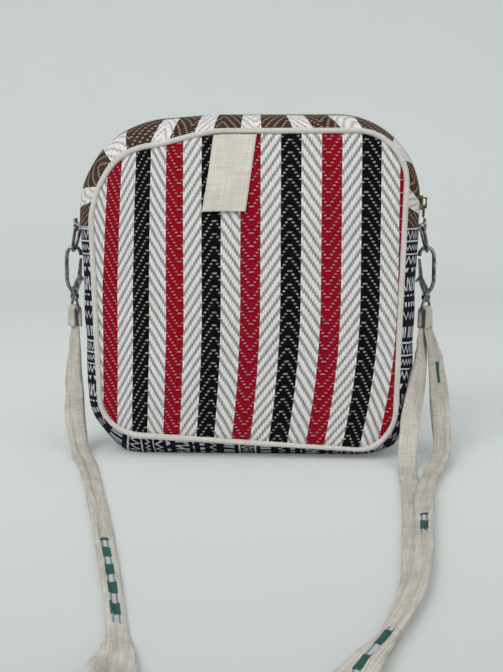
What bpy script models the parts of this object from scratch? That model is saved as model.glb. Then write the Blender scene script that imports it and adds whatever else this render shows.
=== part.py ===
"""Zip-top crossbody bag of striped herringbone cloth, standing on its base with its strap laid out in front.

Metres, +Z up, front panel facing -Y, origin on the floor under the middle of the bag.
Run with: blender --background --python part.py
"""
import math

import bmesh
import bpy
from mathutils import Matrix, Vector

# Bag body
SEAM_W_TOP = 0.202        # panel width at the top, from seam to seam before the corners are rounded
SEAM_W_BOTTOM = 0.190     # the same at the bottom
SEAM_H = 0.199            # panel height from seam to seam
SEAM_Z = 0.011            # height of the bottom seam above the floor
BAG_DEPTH = 0.065         # from the front seam plane to the back seam plane
CORNER_TOP_R = 0.032
CORNER_BOTTOM_R = 0.026
GUSSET_BULGE = 0.012      # how far the gusset stands out past the seams at the sides and the top
BASE_BULGE = 0.014        # the same below, where the floor flattens it
BULGE_POWER = 2.4
ZIP_CORNER_R = 0.055      # radius of the zip's own line round a top corner
ZIP_END_DROP = 0.01572    # from where the zip starts to turn the top corner down to the zip gusset's end
PANEL_DOME = 0.007        # how far the filled panel swells past its rim
PANEL_T = 0.0015
GUSSET_T = 0.0012
LINING_T = 0.0005
LINING_INSET = 0.0023     # from the outside of the gusset to the outside of the lining
LINING_SLOT = 0.010
PIPING_R = 0.0018
CLEAR = 0.0003            # gap between pieces that touch

# Zip
COIL_HALF = 0.0027
COIL_RISE = 0.0007
COIL_T = 0.0016
TAPE_HALF = 0.0082
TAPE_T = 0.0007

# Zip slider and puller
SLIDER_L = 0.0095
SLIDER_HALF = 0.0045
SLIDER_T = 0.0011
SLIDER_RUN = 0.00035      # running gap between slider and coil
SLIDER_WALL = 0.0009
BRIDGE_HALF = 0.0036
BRIDGE_T = 0.0009
BRIDGE_W = 0.0018
BRIDGE_GAP = 0.0021       # clear height under the bridge
PULL_BAR_R = 0.0006
PULL_HALF = 0.0030
PULL_L = 0.0078
PULL_T = 0.0011
PULL_HOLE_END = 0.0040
PULL_HOLE_HALF = 0.0013

# Label
LABEL_W = 0.0275
LABEL_L = 0.048
LABEL_T = 0.0012
LABEL_TURN = math.radians(8.0)
LABEL_X = -0.0075
LABEL_DROP = 0.0022       # from the seam line down to the label's upper edge
LABEL_STEPS = 6

# D-rings and their tabs
RING_WIRE_R = 0.0011
RING_HALF = 0.0081
RING_DROP = 0.016
RING_TILT = math.radians(12.0)
TAB_CLOTH = 0.0012
TAB_HALF = 0.0056
TAB_FOOT = 0.0060         # how far its sewn foot reaches up over the zip's end
PIN_CLEAR = 0.00035       # round a bar or pin that turns

# Trigger hook, measured from the top of its bow
HOOK_WIRE_R = 0.0013
HOOK_HALF = 0.0049
HOOK_SHANK = 0.0315
HOOK_PLATE_HALF = 0.0018
GATE_T = 0.0012
GATE_PIVOT = (-0.0031, -0.0223)
GATE_PIN_R = 0.0006
STEM_R = 0.0012
STEM_HEAD_R = 0.0022
STEM_HEAD_T = 0.0012
HUB_R = 0.0029
HUB_T = 0.0028
EYE_WIRE_R = 0.0010
EYE_HALF = 0.0067
EYE_CORNER_R = 0.0012
EYE_DROP = 0.0092         # from the hub's middle to the strap bar
EYE_TURN = math.radians(62.0)

# Strap
STRAP_W = 0.0175
STRAP_T = 0.0020
STRAP_BUNCH = 0.0106      # its gathered width on an eye
STRAP_END_L = 0.0100      # from the bar down to where the run begins
RUN_GAP = 0.0009          # lets the end turn and swing past the run
GLIDE_W = 0.0250
GLIDE_L = 0.0170
GLIDE_T = 0.0020
GLIDE_SLOT_W = 0.0195
GLIDE_SLOT_L = 0.0050
GLIDE_BAR = 0.0030
GLIDE_X = 0.050
GLIDE_Y = -0.369

HALF_DEPTH = BAG_DEPTH / 2
SEAM_TOP_Z = SEAM_Z + SEAM_H
LEAN = math.atan2((SEAM_W_TOP - SEAM_W_BOTTOM) / 2, SEAM_H)  # how far the bag's sides lean out
TRACK_Z = SEAM_TOP_Z + GUSSET_BULGE - ZIP_CORNER_R           # height of the centre that the zip's corner turns about
ZIP_END_Z = TRACK_Z - ZIP_CORNER_R * math.sin(LEAN) - ZIP_END_DROP

bpy.context.preferences.edit.use_global_undo = False
for old in list(bpy.data.objects):
    bpy.data.objects.remove(old, do_unlink=True)

parts = bpy.data.collections.new("crossbody_bag")
cutters = bpy.data.collections.new("cutters")
bpy.context.scene.collection.children.link(parts)
bpy.context.scene.collection.children.link(cutters)


def material(name, color, roughness, metallic=0.0):
    mat = bpy.data.materials.new(name)
    mat.use_nodes = True
    shader = mat.node_tree.nodes["Principled BSDF"]
    shader.inputs["Base Color"].default_value = (*color, 1.0)
    shader.inputs["Roughness"].default_value = roughness
    shader.inputs["Metallic"].default_value = metallic
    return mat


striped_cloth = material("striped_cloth", (0.55, 0.10, 0.12), 0.85)
zip_cloth = material("zip_cloth", (0.30, 0.22, 0.18), 0.85)
dark_cloth = material("dark_cloth", (0.03, 0.03, 0.05), 0.85)
linen = material("linen", (0.60, 0.57, 0.50), 0.9)
lining_cloth = material("lining_cloth", (0.20, 0.18, 0.17), 0.8)
zip_tape_cloth = material("zip_tape_cloth", (0.10, 0.07, 0.06), 0.8)
nickel = material("nickel", (0.62, 0.61, 0.58), 0.28, 1.0)
brass = material("brass", (0.32, 0.26, 0.16), 0.35, 1.0)


# The outline of the bag, seen from the front

def half_width(z):
    share = (z - SEAM_Z) / SEAM_H
    return (SEAM_W_BOTTOM + (SEAM_W_TOP - SEAM_W_BOTTOM) * share) / 2


def arc(center, radius, start, end, steps):
    return [center + radius * Vector((math.cos(a), math.sin(a)))
            for a in (start + (end - start) * i / steps for i in range(steps + 1))]


def straight(a, b, steps):
    return [a.lerp(b, i / steps) for i in range(1, steps)]


def outline(side_out, base_out, top_radius, bottom_radius):
    """Right half from the middle of the bottom to the middle of the top, then its mirror image.

    Every outline has the same number of points, and two of them lie at the ends of the zip gusset.
    """
    low, high = SEAM_Z - base_out, SEAM_TOP_Z + side_out

    def wall(z):
        return half_width(z) + side_out / math.cos(LEAN)

    def corner_x(z_center, radius):
        return wall(z_center) - radius / math.cos(LEAN)

    low_center = Vector((corner_x(low + bottom_radius, bottom_radius), low + bottom_radius))
    high_center = Vector((corner_x(high - top_radius, top_radius), high - top_radius))
    low_arc = arc(low_center, bottom_radius, -math.pi / 2, -LEAN, 5)
    high_arc = arc(high_center, top_radius, -LEAN, math.pi / 2, 8)
    seam_point = Vector((wall(ZIP_END_Z), ZIP_END_Z))
    right = [Vector((0.0, low))]
    right += straight(Vector((0.0, low)), low_arc[0], 2) + low_arc
    right += straight(low_arc[-1], seam_point, 3) + [seam_point]
    right += straight(seam_point, high_arc[0], 2) + high_arc
    right += straight(high_arc[-1], Vector((0.0, high)), 2) + [Vector((0.0, high))]
    left = [Vector((-p.x, p.y)) for p in reversed(right[1:-1])]
    return right + left, right.index(seam_point)


def bulge(y):
    return 1.0 - abs(y / HALF_DEPTH) ** BULGE_POWER


def gusset_line(y, inset=0.0, floor=0.0):
    """Points of the gusset at depth y: the seam outline pushed out towards the line of the zip."""
    seam, _ = outline(-inset, -inset, CORNER_TOP_R - inset, CORNER_BOTTOM_R - inset)
    middle, _ = outline(GUSSET_BULGE - inset, BASE_BULGE - inset, ZIP_CORNER_R - inset,
                        CORNER_BOTTOM_R + GUSSET_BULGE - inset)
    share = bulge(y)
    flat = [a.lerp(b, share) for a, b in zip(seam, middle)]
    return [Vector((p.x, y, max(p.y, floor))) for p in flat]


SEAM_OUTLINE, ZIP_SEAM = outline(0.0, 0.0, CORNER_TOP_R, CORNER_BOTTOM_R)
COUNT = len(SEAM_OUTLINE)
UPPER = list(range(ZIP_SEAM, COUNT - ZIP_SEAM + 1))
LOWER = list(range(COUNT - ZIP_SEAM, COUNT)) + list(range(0, ZIP_SEAM + 1))


# Helpers that make objects

def add_object(name, mesh, mat, location=(0, 0, 0), parent=None, collection=parts):
    obj = bpy.data.objects.new(name, mesh)
    if mat is not None:
        mesh.materials.append(mat)
    obj.location = location
    obj.parent = parent
    collection.objects.link(obj)
    return obj


def bm_object(name, bm, mat, **place):
    bmesh.ops.recalc_face_normals(bm, faces=bm.faces)
    mesh = bpy.data.meshes.new(name)
    bm.to_mesh(mesh)
    bm.free()
    return add_object(name, mesh, mat, **place)


def add_line(bm, points, closed):
    verts = [bm.verts.new(p) for p in points]
    ends = verts[1:] + verts[:1] if closed else verts[1:]
    return [bm.edges.new(pair) for pair in zip(verts, ends)]


def loft(lines, closed, capped=False):
    """A skin bridged from each line of points to the next."""
    bm = bmesh.new()
    rows = [add_line(bm, points, closed) for points in lines]
    for a, b in zip(rows, rows[1:]):
        bmesh.ops.bridge_loops(bm, edges=a + b)
    if capped:
        bmesh.ops.holes_fill(bm, edges=rows[0] + rows[-1], sides=0)
    return bm


def thicken(obj, thickness):
    wall = obj.modifiers.new("thickness", "SOLIDIFY")
    wall.thickness = thickness
    wall.offset = -1.0
    return wall


def facing_out(bm, towards):
    """Turns an open skin so that its first face looks away from a point inside the bag."""
    bm.faces.ensure_lookup_table()
    bmesh.ops.recalc_face_normals(bm, faces=bm.faces)
    face = bm.faces[len(bm.faces) // 2]
    if face.normal.dot(face.calc_center_median() - towards) < 0:
        bmesh.ops.reverse_faces(bm, faces=bm.faces)


def skin_object(name, lines, thickness, mat, closed=False):
    bm = loft(lines, closed)
    facing_out(bm, Vector((0, 0, SEAM_Z + SEAM_H / 2)))
    mesh = bpy.data.meshes.new(name)
    bm.to_mesh(mesh)
    bm.free()
    obj = add_object(name, mesh, mat)
    thicken(obj, thickness)
    return obj


def poly_curve(name, points, radius, mat, cyclic=False, resolution=2, location=(0, 0, 0), parent=None):
    curve = bpy.data.curves.new(name, "CURVE")
    curve.dimensions = "3D"
    curve.bevel_depth = radius
    curve.bevel_resolution = resolution
    curve.use_fill_caps = not cyclic
    spline = curve.splines.new("POLY")
    spline.points.add(len(points) - 1)
    for slot, point in zip(spline.points, points):
        slot.co = (*point, 1.0)
    spline.use_cyclic_u = cyclic
    obj = bpy.data.objects.new(name, curve)
    if mat is not None:
        curve.materials.append(mat)
    obj.location = location
    obj.parent = parent
    parts.objects.link(obj)
    return obj


def flat_shape(name, loops, half_thickness, mat, location=(0, 0, 0), rotation=(0, 0, 0), parent=None):
    """A flat outline with holes, drawn in its own XY plane and given a thickness both ways."""
    curve = bpy.data.curves.new(name, "CURVE")
    curve.dimensions = "2D"
    curve.fill_mode = "BOTH"
    curve.extrude = half_thickness
    for loop in loops:
        spline = curve.splines.new("POLY")
        spline.points.add(len(loop) - 1)
        for slot, (x, y) in zip(spline.points, loop):
            slot.co = (x, y, 0.0, 1.0)
        spline.use_cyclic_u = True
    obj = bpy.data.objects.new(name, curve)
    if mat is not None:
        curve.materials.append(mat)
    obj.location = location
    obj.rotation_euler = rotation
    obj.parent = parent
    parts.objects.link(obj)
    return obj


def as_mesh(obj, collection=parts):
    """Makes a curve object a mesh object with its caps welded, in the same place."""
    bpy.context.view_layer.update()
    mesh = bpy.data.meshes.new_from_object(obj.evaluated_get(bpy.context.evaluated_depsgraph_get()))
    bm = bmesh.new()
    bm.from_mesh(mesh)
    bmesh.ops.remove_doubles(bm, verts=bm.verts, dist=1e-6)
    bm.to_mesh(mesh)
    bm.free()
    name, place, parent = obj.name, obj.matrix_world.copy(), obj.parent
    bpy.data.objects.remove(obj, do_unlink=True)
    made = bpy.data.objects.new(name, mesh)
    made.parent = parent
    collection.objects.link(made)
    bpy.context.view_layer.update()
    made.matrix_world = place
    return made


def box_mesh(name, size, center, mat, location=(0, 0, 0), parent=None, collection=parts):
    bm = bmesh.new()
    bmesh.ops.create_cube(bm, size=1.0)
    bmesh.ops.scale(bm, vec=size, verts=bm.verts)
    bmesh.ops.translate(bm, vec=center, verts=bm.verts)
    return bm_object(name, bm, mat, location=location, parent=parent, collection=collection)


def cylinder_mesh(name, radius, length, turn, center, mat, segments=16, location=(0, 0, 0), parent=None,
                  collection=parts):
    bm = bmesh.new()
    bmesh.ops.create_cone(bm, cap_ends=True, segments=segments, radius1=radius, radius2=radius, depth=length)
    bmesh.ops.transform(bm, matrix=Matrix.Translation(center) @ turn, verts=bm.verts)
    return bm_object(name, bm, mat, location=location, parent=parent, collection=collection)


def boolean(obj, other, operation):
    """Cuts or joins with an object that is then kept out of the model as a guide."""
    cut = obj.modifiers.new(operation.lower(), "BOOLEAN")
    cut.operation = operation
    cut.solver = "EXACT"
    cut.object = other
    for home in list(other.users_collection):
        home.objects.unlink(other)
    cutters.objects.link(other)
    other.hide_render = True
    other.display_type = "WIRE"


def circle(center, radius, steps, start=0.0):
    return [(center[0] + radius * math.cos(start + math.tau * i / steps),
             center[1] + radius * math.sin(start + math.tau * i / steps)) for i in range(steps)]


ALONG_Y = Matrix.Rotation(math.pi / 2, 4, "X")


# Woven panels and piping

def panel_rise(share):
    """How far the panel stands out, at a share of the way from its middle to its rim."""
    return PANEL_DOME * (1.0 - share ** 2.2)


def panel(name, side):
    """A domed panel: rings of its outline shrink towards the middle while they rise."""
    rim = PIPING_R + CLEAR
    edge, _ = outline(-rim, -rim, CORNER_TOP_R - rim, CORNER_BOTTOM_R - rim)
    middle = Vector((0.0, SEAM_Z + SEAM_H / 2))
    lines = []
    for share in (1.0, 0.93, 0.82, 0.66, 0.46, 0.24):
        y = side * (HALF_DEPTH + PANEL_T / 2 + panel_rise(share))
        lines.append([Vector((q.x, y, q.y)) for q in (middle.lerp(p, share) for p in edge)])
    bm = loft(lines, closed=True)
    inner = [e for e in bm.edges if e.is_boundary and abs(e.verts[0].co.y) > HALF_DEPTH + PANEL_DOME * 0.9]
    bmesh.ops.contextual_create(bm, geom=inner)
    facing_out(bm, Vector((0, 0, SEAM_Z + SEAM_H / 2)))
    mesh = bpy.data.meshes.new(name)
    bm.to_mesh(mesh)
    bm.free()
    obj = add_object(name, mesh, striped_cloth)
    thicken(obj, PANEL_T)


panel("front_panel", -1)
panel("back_panel", 1)
for name, side in (("piping_front", -1), ("piping_back", 1)):
    poly_curve(name, [(p.x, side * HALF_DEPTH, p.y) for p in SEAM_OUTLINE], PIPING_R, linen, cyclic=True)


# Gusset: dark cloth below and a zip between two herringbone strips above

GUSSET_EDGE = HALF_DEPTH - PIPING_R - CLEAR
LOW_DEPTHS = [GUSSET_EDGE * s for s in (-1, -0.86, -0.70, -0.5, -0.25, 0, 0.25, 0.5, 0.70, 0.86, 1)]
STRIP_EDGE = TAPE_HALF + CLEAR


def stretch(y, picks, inset=0.0, trim=0.0):
    """The picked points of the gusset line at depth y, with its two ends drawn back by trim."""
    whole = gusset_line(y, inset)
    points = [whole[i] for i in picks]
    points[0] = points[0] + (points[1] - points[0]).normalized() * trim
    points[-1] = points[-1] + (points[-2] - points[-1]).normalized() * trim
    return points


skin_object("lower_gusset", [stretch(y, LOWER, trim=CLEAR / 2) for y in LOW_DEPTHS], GUSSET_T, dark_cloth)
strip_depths = [STRIP_EDGE + (GUSSET_EDGE - STRIP_EDGE) * s for s in (0, 0.3, 0.56, 0.8, 1)]
for name, side in (("zip_strip_front", -1), ("zip_strip_back", 1)):
    skin_object(name, [stretch(side * y, UPPER, trim=CLEAR / 2) for y in strip_depths], GUSSET_T, zip_cloth)
tape_depths = [COIL_HALF + CLEAR, TAPE_HALF]
for name, side in (("zip_tape_front", -1), ("zip_tape_back", 1)):
    skin_object(name, [stretch(side * y, UPPER, trim=CLEAR / 2) for y in tape_depths], TAPE_T, zip_tape_cloth)
coil_lines = [stretch(y, UPPER, inset=-rise, trim=TAB_FOOT + CLEAR)
              for y, rise in ((-COIL_HALF, 0.0), (-COIL_HALF / 2, COIL_RISE), (COIL_HALF / 2, COIL_RISE),
                              (COIL_HALF, 0.0))]
skin_object("zip_coil", coil_lines, COIL_T, zip_tape_cloth)


# Lining: a thin inner bag, open along the zip

def lining():
    reach = HALF_DEPTH - PIPING_R + CLEAR
    lines = [gusset_line(reach * s, LINING_INSET, floor=LINING_INSET) for s in (-1, -0.75, -0.4, 0, 0.4, 0.75, 1)]
    bm = loft(lines, closed=True, capped=True)
    bmesh.ops.recalc_face_normals(bm, faces=bm.faces)
    mesh = bpy.data.meshes.new("lining")
    bm.to_mesh(mesh)
    bm.free()
    obj = add_object("lining", mesh, lining_cloth)
    thicken(obj, LINING_T)
    height = SEAM_TOP_Z + GUSSET_BULGE * 2 - ZIP_END_Z
    slot = box_mesh("lining_slot", (SEAM_W_TOP + 4 * GUSSET_BULGE, LINING_SLOT, height),
                    (0, 0, ZIP_END_Z + height / 2), None)
    boolean(obj, slot, "DIFFERENCE")


lining()


# Label, sewn under the top piping

def label():
    """A folded linen strip that follows the panel's swell and hangs a little askew."""
    top = Vector((LABEL_X, SEAM_TOP_Z - LABEL_DROP))
    down = Vector((math.sin(LABEL_TURN), math.cos(LABEL_TURN))) * -1
    across = Vector((-LABEL_W / 2, 0.0))
    middle_z = SEAM_Z + SEAM_H / 2
    reach = SEAM_H / 2 - PIPING_R - CLEAR
    lines = []
    for step in range(LABEL_STEPS + 1):
        center = top + down * (LABEL_L * step / LABEL_STEPS)
        ends = []
        for spot in (center - across, center + across):
            share = min(max((spot.y - middle_z) / reach, 0.0), 1.0)
            stand = HALF_DEPTH + PANEL_T / 2 + panel_rise(share) + CLEAR + LABEL_T
            ends.append(Vector((spot.x, -stand, spot.y)))
        lines.append(ends)
    skin_object("label", lines, LABEL_T, linen)


label()


# Places that the hardware takes from the bag

SIDE_X = half_width(ZIP_END_Z) + GUSSET_BULGE
TAB_OUTER_R = RING_WIRE_R + PIN_CLEAR + TAB_CLOTH
PIVOT_X = SIDE_X + CLEAR + TAB_OUTER_R
PIVOT_Z = ZIP_END_Z - TAB_OUTER_R * 0.2
HOOK_X = PIVOT_X + RING_DROP * math.sin(RING_TILT)
RING_LOW_Z = PIVOT_Z - RING_DROP * math.cos(RING_TILT)
HOOK_Z = RING_LOW_Z + RING_WIRE_R + CLEAR + HOOK_WIRE_R
HUB_Z = HOOK_Z - HOOK_SHANK - CLEAR - HUB_T / 2
BAR_Z = HUB_Z - EYE_DROP
RUN_Z = BAR_Z - STRAP_END_L


def empty(name, location, rotation=(0, 0, 0), parent=None):
    obj = bpy.data.objects.new(name, None)
    obj.location = location
    obj.rotation_euler = rotation
    obj.parent = parent
    parts.objects.link(obj)
    return obj


def ring_tab(side, suffix):
    """A cloth loop, sewn flat to the gusset, that holds the ring's straight bar."""
    r_in, r_out = RING_WIRE_R + PIN_CLEAR, TAB_OUTER_R
    loop = [(r_out * math.cos(a), r_out * math.sin(a)) for a in (math.radians(t) for t in range(-90, 61, 15))]
    wall_top = -r_out + TAB_FOOT * math.tan(LEAN)
    loop += [(wall_top + TAB_CLOTH, TAB_FOOT), (wall_top, TAB_FOOT), (-r_out, 0.0), (-r_out * 0.72, -r_out * 0.72)]
    shape = [(side * x, z) for x, z in loop]
    hole = circle((0, 0), r_in, 12)
    flat_shape("ring_tab_" + suffix, [shape, hole], TAB_HALF, linen, location=(side * PIVOT_X, 0, PIVOT_Z),
               rotation=(math.pi / 2, 0, 0))


def d_ring(side, suffix):
    pivot = empty("ring_pivot_" + suffix, (side * PIVOT_X, 0, PIVOT_Z))
    bar = [(-RING_HALF * 0.84, 0.0), (RING_HALF * 0.84, 0.0)]
    bow = [(RING_HALF * math.cos(a), 0.0022 + (RING_DROP - 0.0022) * math.sin(a))
           for a in (math.pi * i / 12 for i in range(13))]
    path = bar + bow
    tilt = Matrix.Rotation(-side * RING_TILT, 3, "Y")
    points = [tilt @ Vector((0.0, y, -d)) for y, d in path]
    poly_curve("d_ring_" + suffix, points, RING_WIRE_R, nickel, cyclic=True, parent=pivot)
    return pivot


def hook_outline(side):
    """Wire of the hook from its shank up and over the bow to the nose."""
    path = [(0.0009, -0.0305), (0.0024, -0.0288), (0.0040, -0.0262), (HOOK_HALF, -0.0225), (HOOK_HALF, -0.0150),
            (HOOK_HALF, -0.0075), (0.0045, -0.0040), (0.0028, -0.0012), (0.0, 0.0), (-0.0028, -0.0010),
            (-0.0044, -0.0031), (-HOOK_HALF, -0.0058)]
    return [(side * x, 0.0, z) for x, z in path]


def hook(side, suffix, pivot):
    """Trigger hook: bent wire, a forked plate that carries the gate's pin, and a stem for the swivel."""
    offset = Vector((side * (HOOK_X - PIVOT_X), 0, HOOK_Z - PIVOT_Z))
    obj = as_mesh(poly_curve("hook_" + suffix, hook_outline(side), HOOK_WIRE_R, None, location=offset, parent=pivot))
    obj.data.materials.clear()
    obj.data.materials.append(nickel)
    gx, gz = GATE_PIVOT
    plate = [(-0.0018, -HOOK_SHANK), (0.0020, -HOOK_SHANK), (0.0026, -0.0290), (0.0010, -0.0268),
             (gx + 0.0022, gz - 0.0004), (gx + 0.0013, gz + 0.0015), (gx - 0.0010, gz + 0.0015),
             (gx - 0.0017, gz - 0.0006)]
    fork = as_mesh(flat_shape("plate_" + suffix, [[(side * x, z) for x, z in plate]], HOOK_PLATE_HALF, None,
                              location=offset, rotation=(math.pi / 2, 0, 0), parent=pivot))
    gap = GATE_T / 2 + CLEAR
    slot = cylinder_mesh("slot_" + suffix, 0.0029, gap * 2, ALONG_Y, (side * gx, 0, gz), None, location=offset,
                         parent=pivot)
    boolean(fork, slot, "DIFFERENCE")
    pin = cylinder_mesh("pin_" + suffix, GATE_PIN_R, HOOK_PLATE_HALF * 2 - 0.0002, ALONG_Y, (side * gx, 0, gz), None,
                        segments=10, location=offset, parent=pivot)
    boolean(fork, pin, "UNION")
    boolean(obj, fork, "UNION")
    stem_low = -HOOK_SHANK - HUB_T - 2 * CLEAR - STEM_HEAD_T
    head_top = stem_low + STEM_HEAD_T
    profile = [(0.0, -0.0290), (STEM_R * 1.9, -0.0290), (STEM_R * 1.9, -HOOK_SHANK), (STEM_R, -HOOK_SHANK),
               (STEM_R, head_top), (STEM_HEAD_R, head_top), (STEM_HEAD_R, stem_low), (0.0, stem_low)]
    stem = turned("stem_" + suffix, profile, offset, pivot)
    boolean(obj, stem, "UNION")


def turned(name, profile, location, parent, segments=16):
    bm = bmesh.new()
    add_line(bm, [Vector((x, 0.0, z)) for x, z in profile], closed=False)
    bmesh.ops.spin(bm, geom=list(bm.verts) + list(bm.edges), cent=(0, 0, 0), axis=(0, 0, 1), angle=math.tau,
                   steps=segments, use_merge=True)
    bmesh.ops.remove_doubles(bm, verts=bm.verts, dist=1e-6)
    return bm_object(name, bm, None, location=location, parent=parent)


def gate(side, suffix, pivot):
    """Sprung gate: a bar from the pin up to the nose, with a thumb lever, and a hole round the pin."""
    gx, gz = GATE_PIVOT
    turn = empty("gate_pivot_" + suffix, (side * (HOOK_X - PIVOT_X + gx), 0, HOOK_Z - PIVOT_Z + gz), parent=pivot)
    top_x, top_z = -HOOK_HALF - gx, -0.0076 - gz
    shape = [(top_x - 0.0007, top_z), (-0.0019, 0.0030), (-0.0038, 0.0008), (-0.0042, -0.0006), (-0.0036, -0.0010),
             (-0.0015, 0.0004), (-0.0012, -0.0010), (0.0, -0.0016), (0.0012, -0.0010), (0.0016, 0.0),
             (0.0010, 0.0016), (top_x + 0.0009, top_z)]
    hole = circle((0, 0), GATE_PIN_R + PIN_CLEAR, 10)
    shape = [(side * x, z) for x, z in shape]
    flat_shape("gate_" + suffix, [shape, hole], GATE_T / 2, nickel, rotation=(math.pi / 2, 0, 0), parent=turn)


def eye(side, suffix, pivot):
    """Swivel eye: a hub round the stem and a wire loop whose bar carries the strap."""
    turn = empty("eye_swivel_" + suffix, (side * (HOOK_X - PIVOT_X), 0, HUB_Z - PIVOT_Z),
                 rotation=(0, 0, side * EYE_TURN), parent=pivot)
    half = [(HUB_R * 0.75, -0.0002), (EYE_HALF * 0.62, -EYE_DROP * 0.26), (EYE_HALF, -EYE_DROP * 0.56),
            (EYE_HALF, -EYE_DROP + EYE_CORNER_R)]
    half += [(EYE_HALF - EYE_CORNER_R * (1 - math.cos(a)), -EYE_DROP + EYE_CORNER_R * (1 - math.sin(a)))
             for a in (math.pi / 6, math.pi / 3, math.pi / 2)]
    wire = [(-x, z) for x, z in half] + half[::-1]
    obj = as_mesh(poly_curve("eye_" + suffix, [(x, 0, z) for x, z in wire], EYE_WIRE_R, None, parent=turn))
    obj.data.materials.clear()
    obj.data.materials.append(nickel)
    hub = cylinder_mesh("hub_" + suffix, HUB_R, HUB_T, Matrix.Identity(4), (0, 0, 0), None, parent=turn)
    bore = cylinder_mesh("bore_" + suffix, STEM_R + PIN_CLEAR, HUB_T * 1.8, Matrix.Identity(4), (0, 0, 0), None,
                         parent=turn)
    boolean(obj, hub, "UNION")
    boolean(obj, bore, "DIFFERENCE")
    return turn


def strap_loop(name, turn, sewn):
    """The gathered strap round the eye's bar: sewn shut on the left, a plain turn on the right."""
    r_in = EYE_WIRE_R + PIN_CLEAR
    r_out = r_in + STRAP_T
    low = -STRAP_END_L
    over = [(r_out * math.cos(a), r_out * math.sin(a)) for a in (math.pi * i / 10 for i in range(11))]
    if sewn:
        loops = [over + [(-STRAP_T, low), (STRAP_T, low)], circle((0, 0), r_in, 12)]
    else:
        under = [(r_in * math.cos(a), r_in * math.sin(a)) for a in (math.pi * i / 10 for i in range(10, -1, -1))]
        loops = [over + [(-r_out, low), (-r_in, low)] + under + [(r_in, low), (r_out, low)]]
    flat_shape(name, loops, STRAP_BUNCH / 2, linen, location=(0, 0, -EYE_DROP),
               rotation=(math.pi / 2, 0, math.pi / 2), parent=turn)


for side, suffix in ((-1, "left"), (1, "right")):
    ring_tab(side, suffix)
    ring_pivot = d_ring(side, suffix)
    hook(side, suffix, ring_pivot)
    gate(side, suffix, ring_pivot)
    swivel = eye(side, suffix, ring_pivot)
    if side < 0:
        strap_loop("strap_end_left", swivel, sewn=True)
    else:
        strap_loop("strap_turn_right", swivel, sewn=False)


# Zip slider: it straddles the coil where the zip's line starts to curve, and turns about that curve's centre

TRACK_X = half_width(TRACK_Z) + (GUSSET_BULGE - ZIP_CORNER_R) / math.cos(LEAN)


def zip_slider():
    track = empty("zip_track", (TRACK_X, 0, TRACK_Z), rotation=(0, LEAN, 0))
    top = ZIP_CORNER_R + COIL_RISE + SLIDER_RUN
    low = ZIP_CORNER_R + SLIDER_RUN
    obj = box_mesh("zip_slider", (SLIDER_T, SLIDER_HALF * 2, SLIDER_L), (top + SLIDER_T / 2, 0, 0), brass,
                   parent=track)
    for sign in (-1, 1):
        cheek = box_mesh("slider_cheek", (top + SLIDER_T / 2 - low, SLIDER_WALL, SLIDER_L),
                         ((top + SLIDER_T / 2 + low) / 2, sign * (SLIDER_HALF - SLIDER_WALL / 2), 0), None,
                         parent=track)
        boolean(obj, cheek, "UNION")
    deck = top + SLIDER_T
    crown = deck + BRIDGE_GAP
    arch = [(deck - 0.0003, -BRIDGE_HALF), (crown + BRIDGE_T, -BRIDGE_HALF), (crown + BRIDGE_T, BRIDGE_HALF),
            (deck - 0.0003, BRIDGE_HALF), (deck - 0.0003, BRIDGE_HALF - BRIDGE_T), (crown, BRIDGE_HALF - BRIDGE_T),
            (crown, -BRIDGE_HALF + BRIDGE_T), (deck - 0.0003, -BRIDGE_HALF + BRIDGE_T)]
    bridge = as_mesh(flat_shape("slider_bridge", [arch], BRIDGE_W / 2, None, rotation=(math.pi / 2, 0, 0),
                                parent=track))
    boolean(obj, bridge, "UNION")
    axis_x = deck + BRIDGE_GAP / 2
    axis_z = -BRIDGE_HALF + BRIDGE_T + 0.0004 + PULL_BAR_R
    pull_turn = empty("zip_pull_pivot", (axis_x, 0, axis_z), parent=track)
    shape = [(-PULL_HALF * 0.85, PULL_BAR_R), (PULL_HALF * 0.85, PULL_BAR_R), (PULL_HALF, 0.0),
             (PULL_HALF, -PULL_L * 0.8), (PULL_HALF * 0.6, -PULL_L), (-PULL_HALF * 0.6, -PULL_L),
             (-PULL_HALF, -PULL_L * 0.8), (-PULL_HALF, 0.0)]
    hole = [(-PULL_HOLE_HALF, -PULL_BAR_R), (-PULL_HOLE_HALF, -PULL_HOLE_END), (PULL_HOLE_HALF, -PULL_HOLE_END),
            (PULL_HOLE_HALF, -PULL_BAR_R)]
    flat_shape("zip_pull", [shape, hole], PULL_T / 2, brass, rotation=(math.pi / 2, 0, math.pi / 2),
               parent=pull_turn)


zip_slider()


# Strap: each run is a flat band lofted along a route, given as places and the way its width points

def smooth(values, per_step):
    """Points on a Catmull-Rom curve through the given ones."""
    ends = [values[0] * 2 - values[1]] + values + [values[-1] * 2 - values[-2]]
    made = []
    for a, b, c, d in zip(ends, ends[1:], ends[2:], ends[3:]):
        for i in range(per_step):
            t = i / per_step
            made.append(0.5 * (2 * b + (c - a) * t + (2 * a - 5 * b + 4 * c - d) * t ** 2
                               + (3 * b - a - 3 * c + d) * t ** 3))
    return made + [values[-1]]


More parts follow.
